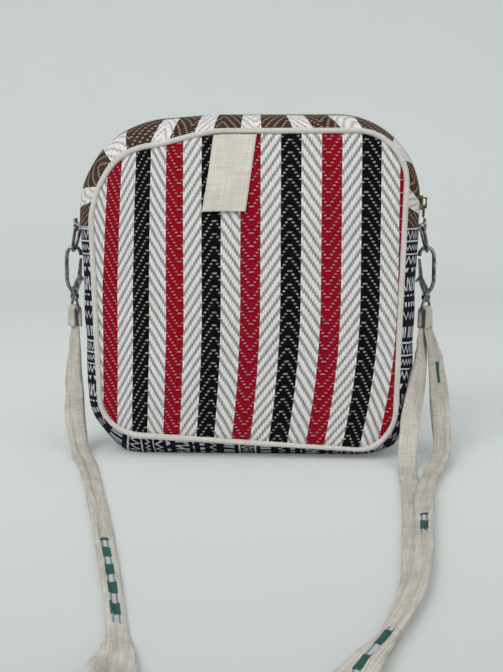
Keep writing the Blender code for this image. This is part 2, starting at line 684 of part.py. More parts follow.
def band(name, route, end_direction, stations=2):
    """A band that starts straight down from an eye and ends in the given direction.

    route: (x, y, z, angle of the width in plan, rise of the width, half width) for each place.
    """
    places = smooth([Vector(r[:3]) for r in route], stations)
    widths = smooth([Vector((math.cos(r[3]) * math.cos(r[4]), math.sin(r[3]) * math.cos(r[4]), math.sin(r[4])))
                     for r in route], stations)
    halves = smooth([Vector((r[5], 0, 0)) for r in route], stations)
    lines = []
    for i, place in enumerate(places):
        ahead = places[min(i + 1, len(places) - 1)] - places[max(i - 1, 0)]
        if i == 0:
            ahead = Vector((0, 0, -1))
        if i == len(places) - 1:
            ahead = end_direction
        across = (widths[i] - ahead * (widths[i].dot(ahead) / ahead.length_squared)).normalized()
        normal = ahead.cross(across).normalized() * (STRAP_T / 2)
        across = across * halves[i].x
        lines.append([place + across + normal, place - across + normal, place - across - normal,
                      place + across - normal])
    bm = loft(lines, closed=True, capped=True)
    low = min(v.co.z for v in bm.verts)
    print(name, "length", round(sum((b - a).length for a, b in zip(places, places[1:])), 4), "lowest", round(low, 5))
    return bm_object(name, bm, linen)


HALF_W = STRAP_W / 2
BUNCH = STRAP_BUNCH / 2
FLAT_Z = STRAP_T / 2 + 0.0004              # lying flat on the floor
OVER_Z = STRAP_T * 1.5 + 0.0009            # lying on the run below
EDGE_Z = STRAP_W / 2 + 0.0002              # standing on its edge
LEG = EYE_WIRE_R + PIN_CLEAR + STRAP_T / 2  # from the middle of the bar to the middle of a run
TOP_Z = RUN_Z - RUN_GAP
LEG_X, LEG_Y = LEG * math.sin(EYE_TURN), LEG * math.cos(EYE_TURN)
GLIDE_BACK = GLIDE_Y + GLIDE_L / 2 + CLEAR
GLIDE_FRONT = GLIDE_Y - GLIDE_L / 2 - CLEAR
TURN = EYE_TURN

LEFT_ROUTE = [
    (-HOOK_X, 0.0, TOP_Z, math.pi - TURN, 0.0, BUNCH),
    (-HOOK_X - 0.0004, -0.0005, 0.066, math.pi - TURN * 0.93, 0.0, 0.0075),
    (-HOOK_X - 0.0008, -0.0020, 0.045, math.pi - TURN * 0.70, 0.0, HALF_W),
    (-0.1175, -0.0060, 0.024, math.pi - TURN * 0.40, 0.0, HALF_W),
    (-0.1135, -0.0170, 0.0075, math.pi - TURN * 0.15, 0.0, HALF_W),
    (-0.1075, -0.0360, FLAT_Z + 0.0012, math.pi, 0.0, HALF_W),
    (-0.1000, -0.0560, FLAT_Z, math.pi + 0.24, 0.0, HALF_W),
    (-0.0925, -0.0840, FLAT_Z, math.pi + 0.27, 0.0, HALF_W),
    (-0.0845, -0.1150, FLAT_Z, math.pi + 0.26, 0.0, HALF_W),
    (-0.0767, -0.1460, FLAT_Z, math.pi + 0.25, 0.0, HALF_W),
    (-0.0685, -0.1800, FLAT_Z, math.pi + 0.24, 0.0, HALF_W),
    (-0.0605, -0.2140, FLAT_Z, math.pi + 0.23, 0.0, HALF_W),
    (-0.0520, -0.2500, FLAT_Z, math.pi + 0.23, 0.0, HALF_W),
    (-0.0440, -0.2860, FLAT_Z, math.pi + 0.21, 0.0, HALF_W),
    (-0.0370, -0.3200, FLAT_Z, math.pi + 0.14, 0.0, HALF_W),
    (-0.0330, -0.3480, 0.0044, math.pi, 0.20, HALF_W),
    (-0.0320, -0.3720, 0.0082, math.pi, 0.75, HALF_W),
    (-0.0320, -0.3960, EDGE_Z, math.pi, 1.40, HALF_W),
    (-0.0300, -0.4180, EDGE_Z, math.pi, math.pi / 2, HALF_W),
    (-0.0190, -0.4390, EDGE_Z, math.pi, math.pi / 2, HALF_W),
    (0.0000, -0.4510, EDGE_Z, math.pi, math.pi / 2, HALF_W),
    (0.0200, -0.4490, EDGE_Z, math.pi, math.pi / 2, HALF_W),
    (0.0370, -0.4370, EDGE_Z, math.pi, math.pi / 2, HALF_W),
    (0.0470, -0.4200, 0.0094, math.pi, 2.10, HALF_W),
    (GLIDE_X, -0.4020, 0.0060, math.pi, 2.70, HALF_W),
    (GLIDE_X, -0.3880, FLAT_Z + 0.0004, math.pi, math.pi, HALF_W),
    (GLIDE_X, GLIDE_FRONT, FLAT_Z, math.pi, math.pi, HALF_W),
]
INNER_ROUTE = [
    (HOOK_X - LEG_X, -LEG_Y, TOP_Z, TURN, 0.0, BUNCH),
    (0.1145, -0.0060, 0.066, TURN, 0.0, 0.0075),
    (0.1108, -0.0175, 0.048, TURN * 0.85, 0.0, HALF_W),
    (0.1055, -0.0325, 0.029, TURN * 0.50, 0.0, HALF_W),
    (0.1025, -0.0450, 0.0120, TURN * 0.15, 0.0, HALF_W),
    (0.1008, -0.0600, FLAT_Z + 0.0010, -0.02, 0.0, HALF_W),
    (0.0995, -0.0790, FLAT_Z + 0.0002, -0.06, 0.0, HALF_W),
    (0.0978, -0.1040, FLAT_Z, -0.08, 0.0, HALF_W),
    (0.0955, -0.1300, FLAT_Z, -0.10, 0.0, HALF_W),
    (0.0928, -0.1590, FLAT_Z, -0.12, 0.0, HALF_W),
    (0.0895, -0.1910, FLAT_Z, -0.13, 0.0, HALF_W),
    (0.0858, -0.2250, FLAT_Z, -0.16, 0.0, HALF_W),
    (0.0808, -0.2610, FLAT_Z, -0.22, 0.0, HALF_W),
    (0.0735, -0.2950, FLAT_Z, -0.28, 0.0, HALF_W),
    (0.0640, -0.3240, FLAT_Z, -0.30, 0.0, HALF_W),
    (0.0555, -0.3440, FLAT_Z, -0.18, 0.0, HALF_W),
    (GLIDE_X, GLIDE_BACK, FLAT_Z, 0.0, 0.0, HALF_W),
]
OUTER_ROUTE = [
    (HOOK_X + LEG_X, LEG_Y, TOP_Z, TURN, 0.0, BUNCH),
    (0.1232, 0.0010, 0.066, TURN, 0.0, 0.0075),
    (0.1262, -0.0005, 0.048, TURN * 0.85, 0.0, HALF_W),
    (0.1275, -0.0040, 0.030, TURN * 0.50, 0.0, HALF_W),
    (0.1280, -0.0140, 0.0150, TURN * 0.20, 0.0, HALF_W),
    (0.1262, -0.0310, 0.0085, -0.08, 0.0, HALF_W),
    (0.1215, -0.0520, OVER_Z + 0.0020, -0.20, 0.0, HALF_W),
    (0.1135, -0.0790, OVER_Z + 0.0005, -0.24, 0.0, HALF_W),
    (0.1065, -0.1080, OVER_Z, -0.20, 0.0, HALF_W),
    (0.1015, -0.1400, OVER_Z, -0.14, 0.0, HALF_W),
    (0.0975, -0.1740, OVER_Z, -0.12, 0.0, HALF_W),
    (0.0935, -0.2080, OVER_Z, -0.13, 0.0, HALF_W),
    (0.0885, -0.2420, OVER_Z, -0.18, 0.0, HALF_W),
    (0.0805, -0.2780, OVER_Z, -0.26, 0.0, HALF_W),
    (0.0695, -0.3120, OVER_Z, -0.30, 0.0, HALF_W),
    (0.0575, -0.3400, OVER_Z, -0.20, 0.0, HALF_W),
    (GLIDE_X, GLIDE_BACK, OVER_Z, 0.0, 0.0, HALF_W),
]

band("strap_long", LEFT_ROUTE, Vector((0, 1, 0)))
band("strap_inner", INNER_ROUTE, Vector((0, -1, 0)))
band("strap_outer", OUTER_ROUTE, Vector((0, -1, 0)))


# Three-bar slide that sets the strap's length

def strap_glide():
    def rectangle(center_y, width, length):
        x, y = width / 2, length / 2
        return [(-x, center_y - y), (x, center_y - y), (x, center_y + y), (-x, center_y + y)]

    reach = (GLIDE_BAR + GLIDE_SLOT_L) / 2
    loops = [rectangle(0.0, GLIDE_W, GLIDE_L), rectangle(reach, GLIDE_SLOT_W, GLIDE_SLOT_L),
             rectangle(-reach, GLIDE_SLOT_W, GLIDE_SLOT_L)]
    flat_shape("strap_glide", loops, GLIDE_T / 2, nickel, location=(GLIDE_X, GLIDE_Y, GLIDE_T / 2))


strap_glide()

print("tracks", {k: round(v, 5) for k, v in {
    "pivot_x": PIVOT_X, "pivot_z": PIVOT_Z, "hook_x": HOOK_X, "hook_z": HOOK_Z, "hub_z": HUB_Z, "bar_z": BAR_Z,
    "top_z": TOP_Z, "track_x": TRACK_X, "track_z": TRACK_Z}.items()})
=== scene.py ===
# %% [markdown]
# # A small zip-top bag of striped herringbone cloth
#
# Two woven panels, a band of patterned cloth round the bottom and a zip between two strips of brown and
# white herringbone make the bag. A linen-covered cord runs round each panel, and a linen strap hangs from
# two trigger hooks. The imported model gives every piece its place, and this script dresses it in cloth,
# thread and metal.

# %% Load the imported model
import math

import bmesh
import bpy
import numpy as np
from mathutils import Matrix, Vector, noise


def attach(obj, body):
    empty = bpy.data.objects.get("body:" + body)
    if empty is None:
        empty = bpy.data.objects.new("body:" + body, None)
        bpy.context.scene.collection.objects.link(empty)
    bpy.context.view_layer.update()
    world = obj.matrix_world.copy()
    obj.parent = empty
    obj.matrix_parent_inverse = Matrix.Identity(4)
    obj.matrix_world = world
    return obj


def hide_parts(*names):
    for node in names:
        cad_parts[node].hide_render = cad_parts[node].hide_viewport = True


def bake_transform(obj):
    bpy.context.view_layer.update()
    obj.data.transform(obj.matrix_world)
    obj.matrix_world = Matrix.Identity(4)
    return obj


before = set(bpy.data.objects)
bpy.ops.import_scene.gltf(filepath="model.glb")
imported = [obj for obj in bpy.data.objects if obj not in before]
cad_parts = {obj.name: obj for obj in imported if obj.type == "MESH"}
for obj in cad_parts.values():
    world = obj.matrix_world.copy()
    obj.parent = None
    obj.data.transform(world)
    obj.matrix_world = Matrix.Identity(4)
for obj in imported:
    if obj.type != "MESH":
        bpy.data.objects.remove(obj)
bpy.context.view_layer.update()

# %% [markdown]
# ## Camera
#
# The photograph is 503 by 672 pixels, taken from about 70 cm away and a little above the middle of the bag.
# A camera's lens is set from its focal length in pixels, which is how many pixels one metre covers at one
# metre.

# %% Camera
FRAME_H = 672
FOCAL_PX = 1062.4
CAMERA_AT = Vector((0.0300, -0.7070, 0.1685))
LOOK_AT = Vector((0.0030, -0.0350, 0.0810))

lens = bpy.data.cameras.new("camera")
lens.sensor_fit = "VERTICAL"
lens.sensor_height = 24.0
lens.lens = FOCAL_PX * lens.sensor_height / FRAME_H
lens.clip_start = 0.01
camera = bpy.data.objects.new("camera", lens)
camera.location = CAMERA_AT
camera.rotation_euler = (LOOK_AT - CAMERA_AT).to_track_quat("-Z", "Y").to_euler()
bpy.context.scene.collection.objects.link(camera)
bpy.context.scene.camera = camera
bpy.context.scene.view_settings.view_transform = "Standard"
print("lens", round(lens.lens, 2), "mm")

# %% [markdown]
# ## Shader arithmetic
#
# Woven patterns are arithmetic: which yarn is this, which thread of the weft, is it on top. Written as
# single Math nodes that is unreadable, so a small class wraps a socket and overloads Python's operators,
# and each operation adds its node. The same formulas then also work on arrays of numbers, which is how the
# ridges of the cloth can be raised in the mesh exactly where the material paints them.


# %% A number in a shader
def maths(operation, finish, first, second):
    return finish.node("ShaderNodeMath", {"operation": operation}, {0: first, 1: second})


def step(operation):
    return lambda self, other=0.0: maths(operation, self.finish, self, other)


def reflected(operation):
    return lambda self, other: maths(operation, self.finish, other, self)


class Number:
    """A socket of a material that takes part in ordinary arithmetic."""

    def __init__(self, finish, socket):
        self.finish = finish
        self.socket = socket

    __add__, __radd__ = step("ADD"), reflected("ADD")
    __sub__, __rsub__ = step("SUBTRACT"), reflected("SUBTRACT")
    __mul__, __rmul__ = step("MULTIPLY"), reflected("MULTIPLY")
    __truediv__, __rtruediv__ = step("DIVIDE"), reflected("DIVIDE")
    __mod__ = step("FLOORED_MODULO")
    __pow__ = step("POWER")
    __lt__, __gt__ = step("LESS_THAN"), step("GREATER_THAN")
    __abs__ = step("ABSOLUTE")
    least, most = step("MINIMUM"), step("MAXIMUM")


# %% A material under construction
def srgb(red, green, blue):
    """The linear colour that shows as these 0 to 255 values."""
    shares = [value / 255 for value in (red, green, blue)]
    return tuple(s / 12.92 if s <= 0.04045 else ((s + 0.055) / 1.055) ** 2.4 for s in shares)


class Finish:
    """A material, and the one method that adds any node to it."""

    def __init__(self, name, **constants):
        self.material = bpy.data.materials.new(name)
        self.material.use_nodes = True
        self.tree = self.material.node_tree
        self.shader = self.tree.nodes["Principled BSDF"]
        for socket, value in constants.items():
            self.feed(self.shader.inputs[socket.replace("_", " ").title().replace("Ior", "IOR")], value)

    def feed(self, socket, value):
        if isinstance(value, Number):
            self.tree.links.new(value.socket, socket)
        elif isinstance(value, tuple) and len(value) == 3 and socket.type == "RGBA":
            socket.default_value = (*value, 1.0)
        else:
            socket.default_value = value

    def node(self, kind, settings=None, values=None, out=0):
        made = self.tree.nodes.new(kind)
        for name, value in (settings or {}).items():
            setattr(made, name, value)
        for place, value in (values or {}).items():
            self.feed(made.inputs[place], value)
        return Number(self, made.outputs[out])

    def place(self):
        return self.node("ShaderNodeTexCoord", out="Object")

    def parts(self, vector):
        made = self.tree.nodes.new("ShaderNodeSeparateXYZ")
        self.feed(made.inputs[0], vector)
        return [Number(self, socket) for socket in made.outputs]

    def vector(self, x=0.0, y=0.0, z=0.0):
        return self.node("ShaderNodeCombineXYZ", values={0: x, 1: y, 2: z})

    def read(self, name):
        return self.node("ShaderNodeAttribute", {"attribute_name": name}, out="Fac")

    def speckle(self, place, scale, detail=2.0, rough=0.5):
        return self.node("ShaderNodeTexNoise", values={"Vector": place, "Scale": scale, "Detail": detail,
                                                       "Roughness": rough})

    def random(self, x, y):
        return self.node("ShaderNodeTexWhiteNoise", {"noise_dimensions": "2D"}, {"Vector": self.vector(x, y)})

    def ramp(self, value, low, high, to_low=0.0, to_high=1.0):
        return self.node("ShaderNodeMapRange", {"interpolation_type": "SMOOTHSTEP"},
                         {0: value, 1: low, 2: high, 3: to_low, 4: to_high})

    def mix(self, factor, first, second):
        return self.node("ShaderNodeMix", {"data_type": "RGBA"}, {0: factor, 6: first, 7: second}, out=2)

    def dim(self, color, factor):
        """The colour times a number."""
        return self.node("ShaderNodeVectorMath", {"operation": "SCALE"}, {0: color, "Scale": factor})

    def bump(self, height, distance, strength=1.0):
        values = {"Strength": strength, "Distance": distance, "Height": height}
        return self.node("ShaderNodeBump", values=values)

    def done(self, color, normal=None, roughness=None):
        for name, value in {"Base Color": color, "Normal": normal, "Roughness": roughness}.items():
            if value is not None:
                self.feed(self.shader.inputs[name], value)
        print("finish", self.material.name, "with", len(self.tree.nodes), "nodes")
        return self.material


# %% [markdown]
# ## Floor and light
#
# The bag stands on a pale floor that curves up into a backdrop, as in a small photo studio, so no horizon
# shows. The sweep is one edge, extruded back, spun up through a quarter turn and extruded on. Its paper is
# painted a little darker towards the camera, a painted shade, and glows faintly for the camera alone. A
# large soft lamp stands above the camera on the left and a weaker one on the right. The world's light is
# white, and only where the camera sees the world itself is it a little greener.

# %% Floor and backdrop
SWEEP_HALF = 9.0
SWEEP_R = 0.7
SWEEP_BACK = 1.1
FLOOR_FRONT = -9.0
WALL_TOP = 3.2
BACKDROP_GLOW = 0.17

sweep = bmesh.new()
ends = [sweep.verts.new((x, FLOOR_FRONT, 0.0)) for x in (-SWEEP_HALF, SWEEP_HALF)]
front_edge = sweep.edges.new(ends)


def pulled(mesh, edges, by):
    """Extrudes these edges by a vector."""
    made = bmesh.ops.extrude_edge_only(mesh, edges=edges)["geom"]
    bmesh.ops.translate(mesh, vec=by, verts=[g for g in made if isinstance(g, bmesh.types.BMVert)])


pulled(sweep, [front_edge], (0, SWEEP_BACK - FLOOR_FRONT, 0))
back_edge = [e for e in sweep.edges if all(abs(v.co.y - SWEEP_BACK) < 1e-6 for v in e.verts)]
turned_up = bmesh.ops.spin(sweep, geom=back_edge + list(back_edge[0].verts), cent=(0, SWEEP_BACK, SWEEP_R),
                           axis=(1, 0, 0), angle=math.pi / 2, steps=16)["geom_last"]
top_edge = [g for g in turned_up if isinstance(g, bmesh.types.BMEdge)]
pulled(sweep, top_edge, (0, 0, WALL_TOP - SWEEP_R))
bmesh.ops.recalc_face_normals(sweep, faces=sweep.faces)
sweep_mesh = bpy.data.meshes.new("backdrop")
sweep.to_mesh(sweep_mesh)
sweep.free()
sweep_mesh.shade_smooth()
backdrop = bpy.data.objects.new("backdrop", sweep_mesh)
bpy.context.scene.collection.objects.link(backdrop)

paper = Finish("backdrop_paper", Roughness=0.9)
grain = paper.speckle(paper.place(), 3.0, detail=3.0)
# Painted shade: the paper's colour is dimmed towards the camera.
nearness = paper.ramp(paper.parts(paper.place())[1], -0.60, 0.20, 0.66, 1.02)
paper_color = paper.dim(paper.mix(grain, srgb(212, 218, 216), srgb(218, 223, 221)), nearness)
paper.feed(paper.shader.inputs["Emission Color"], srgb(205, 211, 209))
paper.feed(paper.shader.inputs["Emission Strength"], paper.node("ShaderNodeLightPath") * BACKDROP_GLOW)
backdrop.data.materials.append(paper.done(color=paper_color))

# %% World and lamps
WORLD_STRENGTH = 0.62
WORLD_WHITE = (1.0, 1.0, 1.0, 1.0)
WORLD_IN_VIEW = (0.98, 1.04, 1.02, 1.0)
KEY_WATTS = 11.0
FILL_WATTS = 3.5


def lamp(name, location, aim, size, watts):
    light = bpy.data.lights.new(name, "AREA")
    light.size = size
    light.energy = watts
    obj = bpy.data.objects.new(name, light)
    obj.location = location
    obj.rotation_euler = (Vector(aim) - Vector(location)).to_track_quat("-Z", "Y").to_euler()
    bpy.context.scene.collection.objects.link(obj)


world = bpy.data.worlds.new("studio")
world.use_nodes = True
world_nodes, world_links = world.node_tree.nodes, world.node_tree.links
world_light = world_nodes["Background"].inputs
world_light["Strength"].default_value = WORLD_STRENGTH
world_mix = world_nodes.new("ShaderNodeMix")
world_mix.data_type = "RGBA"
world_mix.inputs[6].default_value = WORLD_WHITE
world_mix.inputs[7].default_value = WORLD_IN_VIEW
light_path = world_nodes.new("ShaderNodeLightPath")
world_links.new(light_path.outputs["Is Camera Ray"], world_mix.inputs[0])
world_links.new(world_mix.outputs[2], world_light["Color"])
bpy.context.scene.world = world
lamp("key", (-0.75, -1.15, 1.15), (0, 0, 0.10), 1.0, KEY_WATTS)
lamp("fill", (1.1, -0.9, 0.7), (0, 0, 0.10), 1.2, FILL_WATTS)

# %% [markdown]
# ## The bag's outline
#
# The piping, the gusset and the panels all follow one outline, drawn with the same sizes as the packed
# model but with finer steps. A point of the gusset lies between the seam's outline and the outline along
# the zip, and the base is pressed flat where it stands on the floor.

# %% Sizes and outline
SEAM_W_TOP, SEAM_W_BOTTOM, SEAM_H, SEAM_Z = 0.202, 0.190, 0.199, 0.011
BAG_DEPTH = 0.065
CORNER_TOP_R, CORNER_BOTTOM_R, ZIP_CORNER_R = 0.032, 0.026, 0.055
GUSSET_BULGE, BASE_BULGE, BULGE_POWER = 0.012, 0.014, 2.4
PANEL_DOME, PANEL_T, PIPING_R = 0.007, 0.0015, 0.0018
GUSSET_T, LINING_T, LINING_INSET, LINING_SLOT = 0.0012, 0.0005, 0.0023, 0.010
COIL_HALF, TAPE_HALF, TAPE_T = 0.0027, 0.0082, 0.0007
ZIP_END_DROP = 0.01572
TAB_FOOT = 0.0060
CLEAR = 0.0003
FINE = 8

HALF_DEPTH = BAG_DEPTH / 2
SEAM_TOP_Z = SEAM_Z + SEAM_H
MIDDLE = Vector((0.0, SEAM_Z + SEAM_H / 2))
LEAN = math.atan2((SEAM_W_TOP - SEAM_W_BOTTOM) / 2, SEAM_H)
TRACK_Z = SEAM_TOP_Z + GUSSET_BULGE - ZIP_CORNER_R
ZIP_END_Z = TRACK_Z - ZIP_CORNER_R * math.sin(LEAN) - ZIP_END_DROP


def half_width(z):
    return (SEAM_W_BOTTOM + (SEAM_W_TOP - SEAM_W_BOTTOM) * (z - SEAM_Z) / SEAM_H) / 2


def arc(center, radius, start, end, steps):
    return [center + radius * Vector((math.cos(a), math.sin(a)))
            for a in (start + (end - start) * i / steps for i in range(steps + 1))]


def straight(a, b, steps):
    return [a.lerp(b, i / steps) for i in range(1, steps)]


def outline(side_out, base_out, top_radius, bottom_radius):
    """Right half from the middle of the bottom to the middle of the top, then its mirror image."""
    low, high = SEAM_Z - base_out, SEAM_TOP_Z + side_out

    def wall(z):
        return half_width(z) + side_out / math.cos(LEAN)

    def corner_x(z_center, radius):
        return wall(z_center) - radius / math.cos(LEAN)

    low_center = Vector((corner_x(low + bottom_radius, bottom_radius), low + bottom_radius))
    high_center = Vector((corner_x(high - top_radius, top_radius), high - top_radius))
    low_arc = arc(low_center, bottom_radius, -math.pi / 2, -LEAN, 3 * FINE)
    high_arc = arc(high_center, top_radius, -LEAN, math.pi / 2, 4 * FINE)
    zip_end = Vector((wall(ZIP_END_Z), ZIP_END_Z))
    right = [Vector((0.0, low))] + straight(Vector((0.0, low)), low_arc[0], 5 * FINE) + low_arc
    right += straight(low_arc[-1], zip_end, 8 * FINE) + [zip_end]
    right += straight(zip_end, high_arc[0], 2 * FINE) + high_arc
    right += straight(high_arc[-1], Vector((0.0, high)), 5 * FINE) + [Vector((0.0, high))]
    left = [Vector((-p.x, p.y)) for p in reversed(right[1:-1])]
    return right + left, right.index(zip_end)


def gusset_line(y, inset=0.0, floor=0.0):
    """The gusset's outline at depth y, between the seam's own and the one along the zip."""
    seam, _ = outline(-inset, -inset, CORNER_TOP_R - inset, CORNER_BOTTOM_R - inset)
    middle, _ = outline(GUSSET_BULGE - inset, BASE_BULGE - inset, ZIP_CORNER_R - inset,
                        CORNER_BOTTOM_R + GUSSET_BULGE - inset)
    share = 1.0 - abs(y / HALF_DEPTH) ** BULGE_POWER
    flat = [a.lerp(b, share) for a, b in zip(seam, middle)]
    return [Vector((p.x, y, max(p.y, floor))) for p in flat]


SEAM_OUTLINE, ZIP_SEAM = outline(0.0, 0.0, CORNER_TOP_R, CORNER_BOTTOM_R)
COUNT = len(SEAM_OUTLINE)
UPPER = list(range(ZIP_SEAM, COUNT - ZIP_SEAM + 1))
LOWER = list(range(COUNT - ZIP_SEAM, COUNT)) + list(range(0, ZIP_SEAM + 1))
print("outline of", COUNT, "points; zip end at", round(1000 * ZIP_END_Z, 1), "mm")

# %% [markdown]
# ## Making and finishing pieces
#
# Most pieces here are skins lofted from one line of points to the next. Bridging keeps the points in the
# order they were made in, so a number kept for each point, such as how far along the seam it lies, becomes
# an attribute that the cloth's material can follow.


# %% Helpers for meshes
def loft(rows, closed=False, capped=False):
    """A skin bridged from each row of points to the next."""
    mesh = bmesh.new()
    lines = []
    for row in rows:
        verts = [mesh.verts.new(p) for p in row]
        ends = verts[1:] + verts[:1] if closed else verts[1:]
        lines.append([mesh.edges.new(pair) for pair in zip(verts, ends)])
    for a, b in zip(lines, lines[1:]):
        bmesh.ops.bridge_loops(mesh, edges=a + b)
    if capped:
        bmesh.ops.holes_fill(mesh, edges=lines[0] + lines[-1], sides=0)
    bmesh.ops.recalc_face_normals(mesh, faces=mesh.faces)
    return mesh


def face_away(mesh, point):
    """Turns an open skin so that its faces look away from a point."""
    mesh.faces.ensure_lookup_table()
    face = mesh.faces[len(mesh.faces) // 2]
    if face.normal.dot(face.calc_center_median() - point) < 0:
        bmesh.ops.reverse_faces(mesh, faces=mesh.faces)


def piece(name, mesh, material, body, replaces=(), attributes=None, thickness=0.0):
    """Makes an object of the mesh, gives it its finish, and has it ride on its body."""
    data = bpy.data.meshes.new(name)
    mesh.to_mesh(data)
    mesh.free()
    data.materials.append(material)
    data.shade_smooth()
    for key, values in (attributes or {}).items():
        layer = data.attributes.new(key, "FLOAT", "POINT")
        layer.data.foreach_set("value", np.asarray(values, np.float32))
    obj = bpy.data.objects.new(name, data)
    bpy.context.scene.collection.objects.link(obj)
    if thickness:
        wall = obj.modifiers.new("thickness", "SOLIDIFY")
        wall.thickness = thickness
        wall.offset = -1.0
    if body:
        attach(obj, body)
    if replaces:
        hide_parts(*replaces)
    print(name, len(data.polygons), "faces")
    return obj


def waves(points, size, height, seed=0.0):
    """Smooth random heights for a list of points."""
    shift = Vector((seed, seed * 0.7, -seed))
    return np.array([noise.noise(Vector(p) / size + shift) for p in points]) * height


INSIDE = Vector((0.0, 0.0, MIDDLE.y))
SLUMP_IN, SLUMP_DOWN, SEAM_TIP = 0.0070, 0.0100, 0.0046
SETTLED_AT_ZIP = 0.35


def ease(value, low, high):
    """A smooth step from 0 at low to 1 at high."""
    t = np.clip((value - low) / (high - low), 0.0, 1.0)
    return t * t * (3 - 2 * t)


def settled(x, z, depth_share=1.0):
    """Where a place ends up: the soft bag slumps at its top left, and its lower seam tips to the right."""
    slump = ease(-x, 0.012, 0.080) * ease(z, 0.150, 0.196) * depth_share
    tip = np.clip(x / 0.075, -1.0, 1.0) * ease(-z, -0.085, -SEAM_Z) * np.clip(z / SEAM_Z, 0.0, 1.0)
    return x + slump * SLUMP_IN, z - slump * SLUMP_DOWN - tip * SEAM_TIP


def settle(point):
    """Moves a point of the bag as its seam has settled, and less far near the zip."""
    to_seam = (abs(point.y) / HALF_DEPTH) ** BULGE_POWER
    depth_share = min(SETTLED_AT_ZIP + (1 - SETTLED_AT_ZIP) * to_seam, 1.0)
    point.x, point.z = (float(value) for value in settled(point.x, point.z, depth_share))
    return point

# %% [markdown]
# ## Linen
#
# The piping, the label, the strap and the tabs are one plain linen. Plain weave is two sets of threads that
# take turns on top, so its height is the product of two waves, and real linen has slubs: threads that
# thicken and darken for a stretch. The threads follow two attributes, along and across, so that they bend
# with the piece.


# %% Linen finish
LINEN_THREAD = 0.00048


def linen(name, light, dark, relief=0.00012):
    """Plain-woven linen on the attributes along and across, in metres."""
    cloth = Finish(name, Roughness=0.92, Specular_IOR_Level=0.2, Sheen_weight=0.1)
    u = cloth.read("along") / LINEN_THREAD
    v = cloth.read("across") / LINEN_THREAD
    even = (u - u % 1 + v - v % 1) % 2
    ridge_u = 1 - abs(u % 1 - 0.5) * 2
    ridge_v = 1 - abs(v % 1 - 0.5) * 2
    over = even * ridge_v + (1 - even) * ridge_u
    slub_u = cloth.speckle(cloth.vector(u * 0.02, v * 0.6), 1.0, detail=2.0)
    slub_v = cloth.speckle(cloth.vector(u * 0.6, v * 0.02, 3.0), 1.0, detail=2.0)
    cloud = cloth.speckle(cloth.place(), 60.0, detail=3.0)
    tone = cloth.ramp(slub_u * 0.5 + slub_v * 0.5 + cloud * 0.35, 0.50, 0.86)
    # Painted shade: the colour is dimmed where the threads dip between crossings and lifted on their tops.
    color = cloth.dim(cloth.mix(tone, dark, light), 0.80 + over * 0.25)
    height = over + cloth.ramp(slub_v, 0.5, 0.7) * 0.5
    return cloth, color, cloth.bump(height, relief, 0.7)


def plain_linen(name, light, dark):
    cloth, color, normal = linen(name, light, dark)
    return cloth.done(color=color, normal=normal)


PIPING_LINEN = plain_linen("piping_linen", srgb(236, 234, 227), srgb(208, 204, 194))
LABEL_LINEN = plain_linen("label_linen", srgb(242, 239, 227), srgb(216, 210, 195))

# %% [markdown]
# ## Strap
#
# The strap is 17.5 mm wide: linen folded lengthwise, with a narrow woven ribbon of green and white sewn
# down its middle, which shows only where the fold leaves it open. It leaves the left hook, drops to the
# floor, runs forward out of view, turns on its edge, passes the slide and comes back double to the right
# hook. Each run is a free cord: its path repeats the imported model's, and a flat cross-section is carried
# along it, gathered at the hooks and creased lengthwise.

# %% Strap routes
HOOK_X, BAR_Z = 0.11746, 0.09374
EYE_TURN = math.radians(62.0)
STRAP_W, STRAP_T, STRAP_BUNCH = 0.0175, 0.0020, 0.0106
STRAP_END_L, RUN_GAP = 0.0100, 0.0009
EYE_WIRE_R, PIN_CLEAR = 0.0010, 0.00035
GLIDE_X, GLIDE_Y, GLIDE_L = 0.050, -0.369, 0.0170
HALF_W, BUNCH = STRAP_W / 2, STRAP_BUNCH / 2
FLAT_Z, OVER_Z, EDGE_Z = STRAP_T / 2 + 0.0004, STRAP_T * 1.5 + 0.0009, STRAP_W / 2 + 0.0002
LEG = EYE_WIRE_R + PIN_CLEAR + STRAP_T / 2
TOP_Z = BAR_Z - STRAP_END_L - RUN_GAP
LEG_X, LEG_Y = LEG * math.sin(EYE_TURN), LEG * math.cos(EYE_TURN)
GLIDE_BACK = GLIDE_Y + GLIDE_L / 2 + CLEAR
GLIDE_FRONT = GLIDE_Y - GLIDE_L / 2 - CLEAR
TURN, PI = EYE_TURN, math.pi

